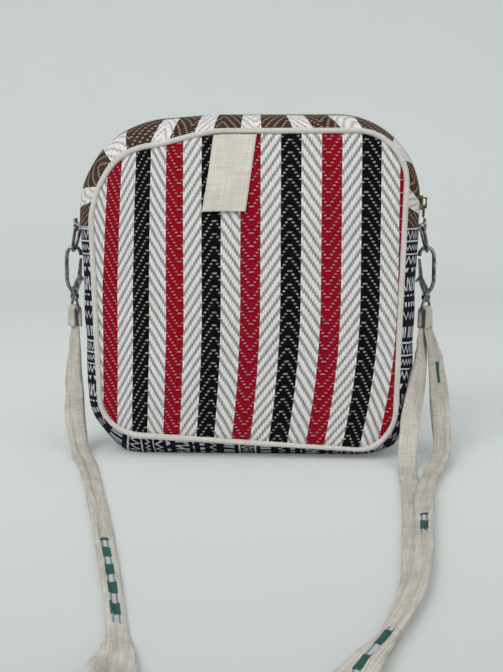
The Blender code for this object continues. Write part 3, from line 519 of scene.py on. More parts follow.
# Each place: x, y, z, then the plan angle and the rise of the width, and the half width.
LEFT_ROUTE = [
    (-HOOK_X, 0.0, TOP_Z, PI - TURN, 0.0, BUNCH),
    (-HOOK_X - 0.0004, -0.0005, 0.066, PI - TURN * 0.93, 0.0, 0.0075),
    (-HOOK_X - 0.0008, -0.0020, 0.045, PI - TURN * 0.70, 0.0, HALF_W),
    (-0.1175, -0.0060, 0.024, PI - TURN * 0.40, 0.0, HALF_W),
    (-0.1135, -0.0170, 0.0075, PI - TURN * 0.15, 0.0, HALF_W),
    (-0.1075, -0.0360, FLAT_Z + 0.0012, PI, 0.0, HALF_W),
    (-0.1000, -0.0560, FLAT_Z, PI + 0.24, 0.0, HALF_W),
    (-0.0925, -0.0840, FLAT_Z, PI + 0.27, 0.0, HALF_W),
    (-0.0845, -0.1150, FLAT_Z, PI + 0.26, 0.0, HALF_W),
    (-0.0767, -0.1460, FLAT_Z, PI + 0.25, 0.0, HALF_W),
    (-0.0685, -0.1800, FLAT_Z, PI + 0.24, 0.0, HALF_W),
    (-0.0605, -0.2140, FLAT_Z, PI + 0.23, 0.0, HALF_W),
    (-0.0520, -0.2500, FLAT_Z, PI + 0.23, 0.0, HALF_W),
    (-0.0440, -0.2860, FLAT_Z, PI + 0.21, 0.0, HALF_W),
    (-0.0370, -0.3200, FLAT_Z, PI + 0.14, 0.0, HALF_W),
    (-0.0330, -0.3480, 0.0044, PI, 0.20, HALF_W),
    (-0.0320, -0.3720, 0.0082, PI, 0.75, HALF_W),
    (-0.0320, -0.3960, EDGE_Z, PI, 1.40, HALF_W),
    (-0.0300, -0.4180, EDGE_Z, PI, PI / 2, HALF_W),
    (-0.0190, -0.4390, EDGE_Z, PI, PI / 2, HALF_W),
    (0.0000, -0.4510, EDGE_Z, PI, PI / 2, HALF_W),
    (0.0200, -0.4490, EDGE_Z, PI, PI / 2, HALF_W),
    (0.0370, -0.4370, EDGE_Z, PI, PI / 2, HALF_W),
    (0.0470, -0.4200, 0.0094, PI, 2.10, HALF_W),
    (GLIDE_X, -0.4020, 0.0060, PI, 2.70, HALF_W),
    (GLIDE_X, -0.3880, FLAT_Z + 0.0004, PI, PI, HALF_W),
    (GLIDE_X, GLIDE_FRONT, FLAT_Z, PI, PI, HALF_W),
]
INNER_ROUTE = [
    (HOOK_X - LEG_X, -LEG_Y, TOP_Z, TURN, 0.0, BUNCH),
    (0.1145, -0.0060, 0.066, TURN, 0.0, 0.0075),
    (0.1108, -0.0175, 0.048, TURN * 0.85, 0.0, HALF_W),
    (0.1055, -0.0325, 0.029, TURN * 0.50, 0.0, HALF_W),
    (0.1025, -0.0450, 0.0120, TURN * 0.15, 0.0, HALF_W),
    (0.1008, -0.0600, FLAT_Z + 0.0010, -0.02, 0.0, HALF_W),
    (0.0995, -0.0790, FLAT_Z + 0.0002, -0.06, 0.0, HALF_W),
    (0.0978, -0.1040, FLAT_Z, -0.08, 0.0, HALF_W),
    (0.0955, -0.1300, FLAT_Z, -0.10, 0.0, HALF_W),
    (0.0928, -0.1590, FLAT_Z, -0.12, 0.0, HALF_W),
    (0.0895, -0.1910, FLAT_Z, -0.13, 0.0, HALF_W),
    (0.0858, -0.2250, FLAT_Z, -0.16, 0.0, HALF_W),
    (0.0808, -0.2610, FLAT_Z, -0.22, 0.0, HALF_W),
    (0.0735, -0.2950, FLAT_Z, -0.28, 0.0, HALF_W),
    (0.0640, -0.3240, FLAT_Z, -0.30, 0.0, HALF_W),
    (0.0555, -0.3440, FLAT_Z, -0.18, 0.0, HALF_W),
    (GLIDE_X, GLIDE_BACK, FLAT_Z, 0.0, 0.0, HALF_W),
]
OUTER_ROUTE = [
    (HOOK_X + LEG_X, LEG_Y, TOP_Z, TURN, 0.0, BUNCH),
    (0.1232, 0.0010, 0.066, TURN, 0.0, 0.0075),
    (0.1262, -0.0005, 0.048, TURN * 0.85, 0.0, HALF_W),
    (0.1275, -0.0040, 0.030, TURN * 0.50, 0.0, HALF_W),
    (0.1280, -0.0140, 0.0150, TURN * 0.20, 0.0, HALF_W),
    (0.1262, -0.0310, 0.0085, -0.08, 0.0, HALF_W),
    (0.1215, -0.0520, OVER_Z + 0.0020, -0.20, 0.0, HALF_W),
    (0.1135, -0.0790, OVER_Z + 0.0005, -0.24, 0.0, HALF_W),
    (0.1065, -0.1080, OVER_Z, -0.20, 0.0, HALF_W),
    (0.1015, -0.1400, OVER_Z, -0.14, 0.0, HALF_W),
    (0.0975, -0.1740, OVER_Z, -0.12, 0.0, HALF_W),
    (0.0935, -0.2080, OVER_Z, -0.13, 0.0, HALF_W),
    (0.0885, -0.2420, OVER_Z, -0.18, 0.0, HALF_W),
    (0.0805, -0.2780, OVER_Z, -0.26, 0.0, HALF_W),
    (0.0695, -0.3120, OVER_Z, -0.30, 0.0, HALF_W),
    (0.0575, -0.3400, OVER_Z, -0.20, 0.0, HALF_W),
    (GLIDE_X, GLIDE_BACK, OVER_Z, 0.0, 0.0, HALF_W),
]
ENDS = {"strap_long": Vector((0, 1, 0)), "strap_inner": Vector((0, -1, 0)), "strap_outer": Vector((0, -1, 0))}


def smooth(values, per_step):
    """Points on a Catmull-Rom curve through the given ones."""
    ends = [values[0] * 2 - values[1]] + values + [values[-1] * 2 - values[-2]]
    made = []
    for a, b, c, d in zip(ends, ends[1:], ends[2:], ends[3:]):
        for i in range(per_step):
            t = i / per_step
            made.append(0.5 * (2 * b + (c - a) * t + (2 * a - 5 * b + 4 * c - d) * t ** 2
                               + (3 * b - a - 3 * c + d) * t ** 3))
    return made + [values[-1]]


# %% Strap finish
RIBBON_HALF, RIBBON_REPEAT, GREEN_L = 0.0021, 0.0240, 0.0140
ZIGZAG_L, ZIGZAG_H, ZIGZAG_LINE, RIB_L = 0.0016, 0.0009, 0.00035, 0.00055

strap_cloth, strap_color, strap_normal = linen("strap_linen", srgb(226, 221, 210), srgb(186, 179, 166))
along = strap_cloth.read("along")
across = strap_cloth.read("across")
face = strap_cloth.read("face")
cycle = along % RIBBON_REPEAT
teeth = abs((along / ZIGZAG_L) % 1 - 0.5) * 2
zigzag = abs(abs(across) - 0.0008 - teeth * ZIGZAG_H) < ZIGZAG_LINE
green = (cycle < GREEN_L).most(zigzag * 0.9)
ribbon_color = strap_cloth.mix(green, srgb(206, 205, 216), srgb(18, 88, 76))
rib = abs((along / RIB_L) % 1 - 0.5) * 2
# Painted shade: the ribbon is dimmed between its ribs.
ribbon_color = strap_cloth.dim(ribbon_color, 0.85 + rib * 0.2)
on_ribbon = (abs(across) < RIBBON_HALF) * (face > 0.5)
strap_color = strap_cloth.mix(on_ribbon, strap_color, ribbon_color)
STRAP_CLOTH = strap_cloth.done(color=strap_color, normal=strap_normal)

# %% Strap runs
STATIONS, PROFILE = 8, 19
FOLD_DEPTH, FOLD_LUMP, RIPPLE = 0.0005, 0.0007, 0.0007
OVER_FLOOR = 0.0002
# How wide the folded strap lies, as a share of its half width, at some distances from its hook.
OPENED_AT = (0.0, 0.03, 0.08, 0.16, 0.28, 0.39, 0.43)
OPENED = (1.12, 1.0, 0.70, 0.60, 0.54, 0.47, 1.0)


def run_frames(route, end_direction):
    """The centre, width, normal and half width at each fine station of a route."""
    places = smooth([Vector(r[:3]) for r in route], STATIONS)
    turned = [Matrix.Rotation(r[3], 3, "Z") @ Vector((math.cos(r[4]), 0, math.sin(r[4]))) for r in route]
    widths = smooth(turned, STATIONS)
    halves = smooth([Vector((r[5], 0, 0)) for r in route], STATIONS)
    frames = []
    for i, spot in enumerate(places):
        ahead = places[min(i + 1, len(places) - 1)] - places[max(i - 1, 0)]
        if i == 0:
            ahead = Vector((0, 0, -1))
        if i == len(places) - 1:
            ahead = end_direction
        across_way = (widths[i] - ahead * (widths[i].dot(ahead) / ahead.length_squared)).normalized()
        frames.append((spot, across_way, ahead.cross(across_way).normalized(), halves[i].x))
    return frames


def strap_section(half, up, distance, seed, share_open):
    """Points round a folded strap: distance across, height, and whether the point is on the ribbon's face."""
    section = []
    fold_at = 0.35 * noise.noise(Vector((distance / 0.060, seed, 3.0))) + 0.22
    uneven = 0.16 * noise.noise(Vector((distance / 0.045, seed, 8.0))) if share_open < 0.99 else 0.0
    narrow = share_open * (1 + uneven)
    hanging = 1.0 + 0.7 * float(ease(distance, 0.004, 0.025) * ease(-distance, -0.105, -0.070))
    for side in (1, -1):
        for k in range(PROFILE):
            share = side * (1 - 2 * k / (PROFILE - 1))
            edge = (1 - abs(share) ** 4) ** 0.5 if abs(share) < 1 else 0.0
            height = side * STRAP_T * (0.22 + 0.42 * edge) * hanging
            if side * up > 0:
                away = (share - fold_at) / 0.10
                height += up * FOLD_DEPTH * (math.tanh(away) - 1.6 * math.exp(-away * away * 2))
                lump = noise.noise(Vector((distance / 0.008, share * 1.5, seed)))
                height += up * FOLD_LUMP * hanging * lump
            ripple = RIPPLE * noise.noise(Vector((distance / 0.018, share * 2.0, seed + 5)))
            section.append((share * half * narrow, height + ripple, 1.0 if side * up > 0 else 0.0))
    return section


def strap_run(name, route, ribbon_side, seed, ribbon_seen=()):
    """A run of the strap. Its ribbon shows between the given pairs of distances, where it isn't folded in."""
    frames = run_frames(route, ENDS[name])
    centres = [f[0] for f in frames]
    distances = [0.0]
    for a, b in zip(centres, centres[1:]):
        distances.append(distances[-1] + (b - a).length)
    rows, values = [], {"along": [], "across": [], "face": []}
    for (spot, width_way, normal_way, half), distance in zip(frames, distances):
        row = []
        share_open = float(np.interp(distance, OPENED_AT, OPENED))
        seen = any(start < distance < end for start, end in ribbon_seen)
        for sideways, height, on_face in strap_section(half, ribbon_side, distance, seed, share_open):
            point = spot + width_way * sideways + normal_way * height
            point.z = max(point.z, OVER_FLOOR)
            row.append(point)
            values["along"].append(distance)
            values["across"].append(sideways)
            values["face"].append(on_face if seen else 0.0)
        rows.append(row)
    obj = piece(name + "_cloth", loft(rows, closed=True, capped=True), STRAP_CLOTH, None,
                replaces=(name,), attributes=values)
    print(name, "length", round(distances[-1], 4), "m")
    return obj, centres, distances[-1]


strap_long, long_path, long_length = strap_run("strap_long", LEFT_ROUTE, -1, 1.3,
                                               [(0.275, 0.385), (0.47, 0.66)])
strap_inner, inner_path, inner_length = strap_run("strap_inner", INNER_ROUTE, -1, 4.1, [(0.36, 0.42)])
strap_outer, outer_path, outer_length = strap_run("strap_outer", OUTER_ROUTE, 1, 7.7,
                                                  [(0.022, 0.040), (0.225, 0.26), (0.38, 0.44)])
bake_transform(strap_long)
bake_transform(strap_inner)
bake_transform(strap_outer)

# %% [markdown]
# ## Herringbone cloth
#
# In this cloth each warp yarn floats over three threads of the weft and dips under the fourth, and its
# neighbour dips one thread later. The dips climb in diagonal chains, and every seventeen yarns the climb
# turns round, which gives the herringbone. A light weft shows as a small dash at each dip. The formulas
# count yarns and weft threads, find the nearest dip, and give the height of the yarn there.

# %% Herringbone formulas
TURN_EVERY = 17
DASH_HALF_W, DASH_HALF_H = 0.72, 0.29


def steps_at(yarn, first_turn):
    """How many weft threads the twill has climbed at a yarn."""
    return abs((yarn - first_turn) % (2 * TURN_EVERY) - TURN_EVERY)


def dip_at(pick, yarn, first_turn):
    """How many weft threads away from the nearest dip of that yarn, from -2 to 2."""
    return (pick + steps_at(yarn, first_turn) + 2) % 4 - 2


def weave(cloth, yarn, pick, first_turn):
    """The dash mask, the height of the warp, the middle of the yarn, and how far off its nearest dip is."""
    column = yarn - yarn % 1 + 0.5
    beside = column + ((yarn > column) * 2 - 1)
    near = []
    for middle in (column, beside):
        sideways = (yarn - middle) / DASH_HALF_W
        upward = dip_at(pick, middle, first_turn) / DASH_HALF_H
        near.append(sideways * sideways + upward * upward)
    dash = cloth.ramp(near[0].least(near[1]), 0.45, 1.25, 1.0, 0.0)
    dip = dip_at(pick, column, first_turn)
    across_yarn = (yarn - column) * 2
    rounded = 1 - across_yarn * across_yarn * 0.55
    floating = 1 - (1 - abs(dip) / 2) ** 3
    return dash, rounded * floating, column, dip


# %% Striped panel finish
STRIPE = 9
# The yarn at the middle, then how the count grows with the distance to the right in decimetres.
SPREAD = (74.75, 71.84, -4.79, 5.44)
LEFT_EDGE = -0.045
PICK = 0.00205
FIRST_TURN = 9


def stripe_yarn(x, z):
    """Which warp yarn lies at a place: the cloth leans below the middle and spreads to the left."""
    up = z - MIDDLE.y
    below = (abs(up) - up) / 2
    above = (abs(up) + up) / 2
    at_left = (abs(LEFT_EDGE - x) + LEFT_EDGE - x) / 2
    pulled_x = x + below * below * (x * 5.6 + 0.69) - above * at_left * 1.4
    t = pulled_x * 10
    return SPREAD[0] + (SPREAD[1] + (SPREAD[2] + SPREAD[3] * t) * t) * t


def stripe_pick(x, z):
    return (z + x * x * 0.25 - x * 0.03) / PICK


def striped_cloth():
    cloth = Finish("striped_herringbone", Roughness=0.9, Specular_IOR_Level=0.12)
    place = cloth.place()
    x, _, z = cloth.parts(place)
    wobble = cloth.speckle(place, 140.0, detail=1.0) - 0.5
    yarn = stripe_yarn(x, z) + wobble * 0.35
    pick = stripe_pick(x, z) + wobble * 0.5
    dash, height, column, dip = weave(cloth, yarn, pick, FIRST_TURN)
    stripe = column % (4 * STRIPE)
    red = stripe < STRIPE
    black = (stripe > 2 * STRIPE) * (stripe < 3 * STRIPE)
    fuzz = cloth.speckle(place, 900.0, detail=2.0)
    blotch = cloth.random(column, pick - pick % 1)
    white_yarn = cloth.mix(fuzz * 0.6 + blotch * 0.4, srgb(222, 220, 218), srgb(250, 249, 249))
    red_yarn = cloth.mix(fuzz * 0.7 + blotch * 0.3, srgb(134, 0, 26), srgb(176, 6, 42))
    black_yarn = cloth.mix(fuzz, srgb(2, 2, 6), srgb(14, 14, 20))
    warp = cloth.mix(black, cloth.mix(red, white_yarn, red_yarn), black_yarn)
    # Painted shadow: under marks a dark line just below each weft dash, used in the red and black stripes.
    under = (abs(dip + 0.55) < 0.28) * 0.35
    white = 1 - red.most(black)
    # Painted shade: the warp is dimmed towards its dips and lighter on its raised floats, and the white
    # stripes are darker in their grooves.
    groove_shade = cloth.ramp(abs(dip), 0.25, 1.25, 0.40, 1.0)
    dark_shade = 0.50 + height * 0.50 - under
    warp = cloth.dim(warp, dark_shade * (1 - white) + (0.66 + height * 0.34) * groove_shade * white)
    weft_light = cloth.mix(blotch, srgb(186, 180, 168), srgb(214, 209, 199))
    # Painted shade: the pale weft is dimmed where its dashes sink between the warp floats.
    weft = cloth.mix(red, cloth.mix(black, cloth.dim(weft_light, 0.56), cloth.dim(weft_light, 0.60)),
                     cloth.dim(srgb(222, 158, 152), 0.72))
    color = cloth.mix(dash * (0.70 + blotch * 0.28), warp, weft)
    relief = height + dash * 0.35 + fuzz * 0.25
    return cloth.done(color=color, normal=cloth.bump(relief, 0.00045, 0.75),
                      roughness=cloth.ramp(fuzz, 0.3, 0.8, 0.82, 0.95))


STRIPED = striped_cloth()

# %% [markdown]
# ## Panels
#
# A panel starts as a fine flat grid. Planes along the outline cut it to shape, and then every point is
# lifted onto the swell of the filled bag, with the diagonal ridges of the weave raised on top, a few slack
# places, and small puckers where the seam gathers it. The rim is carried a little inwards and closed by one
# flat face.

# %% Panels
GRID_CELLS = 296
RIDGE, SLACK, PUCKER, SEAM_TUCK = 0.00016, 0.0016, 0.0007, 0.0011
PANEL_TUCK, RIM_RETURN = 0.0009, 0.0012


def panel_rise(share):
    return PANEL_DOME * (1.0 - share ** 2.2)


def rim_share(points, rim):
    """How far out each point lies, as a share of the way from the middle to the rim."""
    share = np.zeros(len(points))
    for a, b in zip(rim, rim[1:] + rim[:1]):
        out = Vector((b.y - a.y, a.x - b.x)).normalized()
        reach = out.dot(a - MIDDLE)
        share = np.maximum(share, (points - np.array(MIDDLE)) @ np.array(out) / reach)
    return np.clip(share, 0.0, 1.0)


def panel(name, side, seed):
    rim, _ = outline(-PANEL_TUCK, -PANEL_TUCK, CORNER_TOP_R - PANEL_TUCK, CORNER_BOTTOM_R - PANEL_TUCK)
    rim = rim[::2]
    mesh = bmesh.new()
    bmesh.ops.create_grid(mesh, x_segments=GRID_CELLS, y_segments=GRID_CELLS, size=0.5)
    turn_up = Matrix.Rotation(math.pi / 2, 4, "X")
    bmesh.ops.scale(mesh, vec=(SEAM_W_TOP, SEAM_H, 1.0), verts=mesh.verts)
    bmesh.ops.transform(mesh, matrix=Matrix.Translation((0, 0, MIDDLE.y)) @ turn_up, verts=mesh.verts)
    for a, b in zip(rim, rim[1:] + rim[:1]):
        out = Vector((b.y - a.y, 0.0, a.x - b.x)).normalized()
        away = [v for v in mesh.verts if (v.co - Vector((a.x, 0, a.y))).dot(out) > -0.002]
        near = dict.fromkeys(f for v in away for f in v.link_faces)
        near_edges = dict.fromkeys(e for f in near for e in f.edges)
        near_verts = dict.fromkeys(v for f in near for v in f.verts)
        bmesh.ops.bisect_plane(mesh, geom=[*near, *near_edges, *near_verts], plane_co=(a.x, 0, a.y),
                               plane_no=out, clear_outer=True, dist=1e-7)
    flat = np.array([(v.co.x, v.co.z) for v in mesh.verts])
    share = rim_share(flat, rim)
    flat = np.column_stack(settled(flat[:, 0], flat[:, 1]))
    yarn = stripe_yarn(flat[:, 0], flat[:, 1])
    lift = dip_at(stripe_pick(flat[:, 0], flat[:, 1]), yarn, FIRST_TURN)
    ridges = -np.cos(lift * math.pi / 2) * RIDGE * np.clip((1 - share) * 12, 0, 1)
    places = [(x, z, side) for x, z in flat]
    slack = waves(places, 0.045, SLACK, seed) * np.clip((1 - share) * 3, 0, 1)
    pucker = waves(places, 0.009, PUCKER, seed + 5) * np.exp(-((1 - share) / 0.07) ** 2)
    tuck = SEAM_TUCK * np.exp(-((1 - share) / 0.018) ** 2)
    rise = HALF_DEPTH + PANEL_T / 2 + panel_rise(share) + ridges + slack + pucker - tuck
    for v, y, (x, z) in zip(mesh.verts, rise, flat):
        v.co = (x, side * y, z)
    edge = [e for e in mesh.edges if e.is_boundary]
    pulled(mesh, edge, (0, -side * RIM_RETURN, 0))
    bmesh.ops.holes_fill(mesh, edges=[e for e in mesh.edges if e.is_boundary], sides=0)
    bmesh.ops.recalc_face_normals(mesh, faces=mesh.faces)
    obj = piece(name + "_cloth", mesh, STRIPED, "root", replaces=(name,))
    print(name, "triangles", sum(len(p.vertices) - 2 for p in obj.data.polygons))


panel("front_panel", -1, 2.0)
panel("back_panel", 1, 9.0)

# %% [markdown]
# ## Piping
#
# Each panel's seam is finished with a cord in a sleeve of bias-cut linen. A circle is carried round the
# outline; its radius swells and shrinks a little, and fine wrinkles run across it, most of all at the
# corners, where the sleeve is squeezed on the inside of the bend.


# %% Piping
def piping(name, side, seed):
    sides = 14
    rows, values = [], {"along": [], "across": []}
    distance = 0.0
    for i, spot in enumerate(SEAM_OUTLINE):
        before, after = SEAM_OUTLINE[i - 1], SEAM_OUTLINE[(i + 1) % COUNT]
        way = (after - before).normalized()
        out = Vector((way.y, 0.0, -way.x))
        bend = abs((spot - before).normalized().cross((after - spot).normalized()))
        row = []
        for k in range(sides):
            turn = math.tau * k / sides
            pinch = noise.noise(Vector((distance / 0.0022, math.cos(turn), math.sin(turn) + seed)))
            swell = noise.noise(Vector((distance / 0.016, seed, 0.0)))
            radius = PIPING_R * (1.0 + 0.05 * swell + pinch * (0.035 + min(bend * 1.5, 0.06)))
            place = Vector((spot.x, side * (HALF_DEPTH + math.sin(turn) * radius), spot.y))
            row.append(settle(place + out * (math.cos(turn) * radius)))
            values["along"].append(distance)
            values["across"].append(PIPING_R * turn)
        rows.append(row)
        distance += (after - spot).length
    mesh = loft(rows, closed=True)
    gap = [e for e in mesh.edges if e.is_boundary]
    bmesh.ops.bridge_loops(mesh, edges=gap)
    bmesh.ops.recalc_face_normals(mesh, faces=mesh.faces)
    piece(name + "_cloth", mesh, PIPING_LINEN, "root", replaces=(name,), attributes=values)


piping("piping_front", -1, 0.0)
piping("piping_back", 1, 3.0)

# %% [markdown]
# ## Gusset
#
# The gusset is lofted front to back from outlines at several depths. Its patterns follow two attributes:
# run, the distance along the seam from the middle of the top, and deep, the distance from the zip. The
# upper cloth is woven in blocks of brown and white, and the lower one is black with rows of small white
# figures.


# %% Distance round the seam
def seam_runs():
    """How far each outline point is from the top's middle, above 0 on the right and below on the left."""
    top = COUNT // 2
    runs = [0.0] * COUNT
    for way in (-1, 1):
        walked, i = 0.0, top
        for _ in range(top):
            j = (i + way) % COUNT
            walked += (SEAM_OUTLINE[j] - SEAM_OUTLINE[i]).length
            runs[j] = -way * walked
            i = j
    return runs


RUNS = seam_runs()
ZIP_END_RUN = RUNS[ZIP_SEAM]
print("zip end at", round(ZIP_END_RUN * 1000, 1), "mm from the middle of the top")


def skin(name, picks, depths, material, thickness, replaces=(), inset=0.0, trim=0.0, lump=0.0,
         seed=0.0):
    """A strip of the gusset over some outline points and some depths."""
    rows, values = [], {"run": [], "deep": []}
    for y in depths:
        whole = gusset_line(y, inset)
        row = [whole[i].copy() for i in picks]
        row[0] += (row[1] - row[0]).normalized() * trim
        row[-1] += (row[-2] - row[-1]).normalized() * trim
        for i, point in zip(picks, row):
            out = Vector((point.x, 0.0, point.z - MIDDLE.y)).normalized()
            shift = noise.noise(point / 0.02 + Vector((seed, 0, 0))) * lump
            if point.z > 0.004:
                point += out * shift
            settle(point)
            values["run"].append(RUNS[i])
            values["deep"].append(y)
        rows.append(row)
    mesh = loft(rows)
    face_away(mesh, INSIDE)
    return piece(name, mesh, material, "root", replaces, values, thickness)


def spread(a, b, steps):
    return [a + (b - a) * i / steps for i in range(steps + 1)]


# %% Brown and white cloth beside the zip
BLOCK_REPEAT, BROWN_L, BLOCK_START = 0.0322, 0.0188, -0.0547
STRIP_YARN, STRIP_PICK, STRIP_FIRST_TURN = 0.00132, 0.0019, 4


def block_cloth():
    cloth = Finish("block_herringbone", Roughness=0.9, Specular_IOR_Level=0.15)
    run, deep = cloth.read("run"), cloth.read("deep")
    place = cloth.place()
    wobble = cloth.speckle(place, 140.0, detail=1.0) - 0.5
    run = run + cloth.ramp(run, 0.085, 0.125, 0.0, 0.0055) - cloth.ramp(0 - run, 0.055, 0.100, 0.0, 0.0060)
    yarn = run / STRIP_YARN + wobble * 0.3
    pick = deep / STRIP_PICK + wobble * 0.4
    dash, height, column, dip = weave(cloth, yarn, pick, STRIP_FIRST_TURN)
    brown = ((column * STRIP_YARN - BLOCK_START) % BLOCK_REPEAT) < BROWN_L
    fuzz = cloth.speckle(place, 900.0, detail=2.0)
    blotch = cloth.random(column, pick - pick % 1)
    white_yarn = cloth.mix(blotch, srgb(226, 223, 219), srgb(250, 248, 248))
    brown_yarn = cloth.mix(blotch, srgb(58, 40, 33), srgb(82, 60, 50))
    # Painted shade: the warp is dimmed towards its dips and lighter on its raised floats.
    warp = cloth.dim(cloth.mix(brown, white_yarn, brown_yarn), 0.52 + height * 0.5)
    weft = cloth.mix(brown, srgb(158, 150, 142), srgb(186, 168, 146))
    return cloth.done(color=cloth.mix(dash * 0.9, warp, weft),
                      normal=cloth.bump(height + dash * 0.3 + fuzz * 0.25, 0.0004, 0.75))


BLOCKS = block_cloth()
STRIP_IN = TAPE_HALF - 0.0004
GUSSET_OUT = HALF_DEPTH - 0.0010
for side, word in ((-1, "front"), (1, "back")):
    depths = [side * y for y in spread(STRIP_IN, GUSSET_OUT, 14)]
    skin("zip_strip_" + word + "_cloth", UPPER, depths, BLOCKS, GUSSET_T, ("zip_strip_" + word,),
         trim=CLEAR / 2, lump=0.0009, seed=side * 3.0)

# %% Black and white cloth round the bottom
FIGURE_REPEAT = 0.0725
# Where plain lines and zigzags start and end below the zip's end; then a zigzag's pitch and its line's width.
PLAIN_LINES = ((0.0080, 0.0090), (0.0162, 0.0170))
ZIGZAGS = ((0.0014, 0.0078, 0.0044, 0.0016), (0.0104, 0.0146, 0.0036, 0.0013),
           (0.0174, 0.0234, 0.0050, 0.0018), (0.0530, 0.0584, 0.0046, 0.0013))


def figure_cloth():
    cloth = Finish("figured_cloth", Roughness=0.88, Specular_IOR_Level=0.15)
    run, deep = cloth.read("run"), cloth.read("deep")
    place = cloth.place()
    wobble = (cloth.speckle(place, 260.0, detail=1.0) - 0.5) * 0.0006
    down = (abs(run) - ZIP_END_RUN + wobble) % FIGURE_REPEAT
    beside = deep + wobble

    def between(low, high):
        return (down > low) * (down < high)

    def place_in(pitch):
        return (beside / pitch) % 1

    def peaks(pitch):
        return abs(place_in(pitch) - 0.5) * 2

    def zigzag_row(low, high, pitch, thick):
        line = abs(down - low - thick / 2 - peaks(pitch) * (high - low - thick)) < thick / 2
        return line * between(low, high)

    arrows = peaks(0.0072) > 0.35 + (down - 0.0252) * 180
    slants = (place_in(0.0034) < 0.30).most(abs(place_in(0.0068) - (down - 0.0312) * 113) < 0.11)
    bars = (place_in(0.0060) < 0.22).most(abs(place_in(0.0060) - 0.48) < 0.11)
    figures = between(0.0, 0.0012)
    for low, high in PLAIN_LINES:
        figures = figures.most(between(low, high))
    for row in ZIGZAGS:
        figures = figures.most(zigzag_row(*row))
    blocks = ((0.0252, 0.0280, arrows), (0.0312, 0.0400, slants), (0.0424, 0.0434, peaks(0.0050) > 0.4),
              (0.0470, 0.0500, peaks(0.0040) > 0.5), (0.0628, 0.0698, bars))
    for low, high, pattern in blocks:
        figures = figures.most(between(low, high) * pattern)
    thread_across = abs((beside / 0.0009) % 1 - 0.5) * 2
    thread_down = abs((down / 0.0007) % 1 - 0.5) * 2
    fuzz = cloth.speckle(place, 800.0, detail=2.0)
    white = cloth.mix(fuzz, srgb(196, 198, 214), srgb(238, 240, 248))
    black = cloth.mix(fuzz, srgb(8, 9, 18), srgb(22, 26, 38))
    # Painted shade: the colour is dimmed between the threads, across and down.
    color = cloth.dim(cloth.mix(figures, black, white), 0.72 + thread_across * 0.2 + thread_down * 0.14)
    height = thread_across * 0.5 + thread_down * 0.3 + figures * 0.7 + fuzz * 0.3
    return cloth.done(color=color, normal=cloth.bump(height, 0.00030, 0.7))


FIGURED = figure_cloth()
skin("lower_gusset_cloth", LOWER, spread(-GUSSET_OUT, GUSSET_OUT, 30), FIGURED, GUSSET_T,
     ("lower_gusset",), trim=CLEAR / 2, lump=0.0010, seed=11.0)

# %% [markdown]
# ## Zip
#
# Behind the herringbone edges lie two woven tapes, and between them the coil: nylon teeth 1.3 mm apart. One
# tooth is an arched bar of a few faces, and a copy of it is set across the zip at every step of the seam.


# %% Zip tapes
def tape_finish():
    cloth = Finish("zip_tape_weave", Roughness=0.85)
    run, deep = cloth.read("run"), cloth.read("deep")
    diagonal = abs(((run + abs(deep)) / 0.0011) % 1 - 0.5) * 2
    fuzz = cloth.speckle(cloth.place(), 700.0, detail=2.0)
    # Painted shade: the tape is dimmed between its diagonal twill ridges.
    color = cloth.dim(cloth.mix(fuzz, srgb(38, 30, 27), srgb(66, 54, 48)), 0.75 + diagonal * 0.35)
    return cloth.done(color=color, normal=cloth.bump(diagonal + fuzz * 0.4, 0.0002, 0.6))


TAPE = tape_finish()
for side, word in ((-1, "front"), (1, "back")):
    depths = [side * y for y in spread(COIL_HALF - 0.0004, TAPE_HALF, 4)]
    skin("zip_tape_" + word + "_cloth", UPPER, depths, TAPE, TAPE_T, ("zip_tape_" + word,),
         trim=CLEAR / 2, inset=0.0003)

# %% Coil
TOOTH_PITCH, TOOTH_R, TOOTH_RISE = 0.0013, 0.00052, 0.0006
TEETH_FROM = TAB_FOOT + 0.0008


def tooth(mesh, at, along_way, out_way):
    """One arched nylon tooth across the zip."""
    side_way = Vector((0, 1, 0))
    rows = []
    for k in range(7):
        turn = math.pi * k / 6
        centre = at - side_way * math.cos(turn) * (COIL_HALF - TOOTH_R)
        centre += out_way * math.sin(turn) ** 0.5 * TOOTH_RISE
        row = [centre + along_way * (math.cos(a) * TOOTH_R) + out_way * (math.sin(a) * TOOTH_R)
               for a in (math.tau * s / 6 for s in range(6))]
        rows.append([mesh.verts.new(p) for p in row])
    lines = [[mesh.edges.new((row[i], row[(i + 1) % 6])) for i in range(6)] for row in rows]
    for a, b in zip(lines, lines[1:]):
        bmesh.ops.bridge_loops(mesh, edges=a + b)
    bmesh.ops.holes_fill(mesh, edges=lines[0] + lines[-1], sides=0)


def coil_finish():
    nylon = Finish("zip_coil_nylon", Roughness=0.42)
    fuzz = nylon.speckle(nylon.place(), 500.0, detail=2.0)
    color = nylon.mix(fuzz, srgb(44, 35, 31), srgb(72, 60, 54))
    return nylon.done(color=color, normal=nylon.bump(fuzz, 0.0001, 0.4),
                      roughness=nylon.ramp(fuzz, 0.2, 0.8, 0.35, 0.55))


def coil():
    line = [gusset_line(0.0)[i] for i in UPPER]
    total = sum((b - a).length for a, b in zip(line, line[1:]))
    mesh = bmesh.new()
    walked, next_at = 0.0, TEETH_FROM
    for a, b in zip(line, line[1:]):
        way = (b - a).normalized()
        while next_at < min(walked + (b - a).length, total - TEETH_FROM):
            spot = a + way * (next_at - walked)
            out = Vector((way.z, 0.0, -way.x))
            if out.dot(spot - INSIDE) < 0:
                out = -out
            tooth(mesh, settle(spot - out * 0.0004), way, out)
            next_at += TOOTH_PITCH
        walked += (b - a).length
    bmesh.ops.recalc_face_normals(mesh, faces=mesh.faces)
    piece("zip_coil_teeth", mesh, coil_finish(), "root", ("zip_coil",))


coil()

# %% [markdown]
# ## Lining
#
# A thin inner bag of dark cotton follows the gusset just inside it. It is the same loft, closed at front
# and back, and cut open along the zip by two planes.


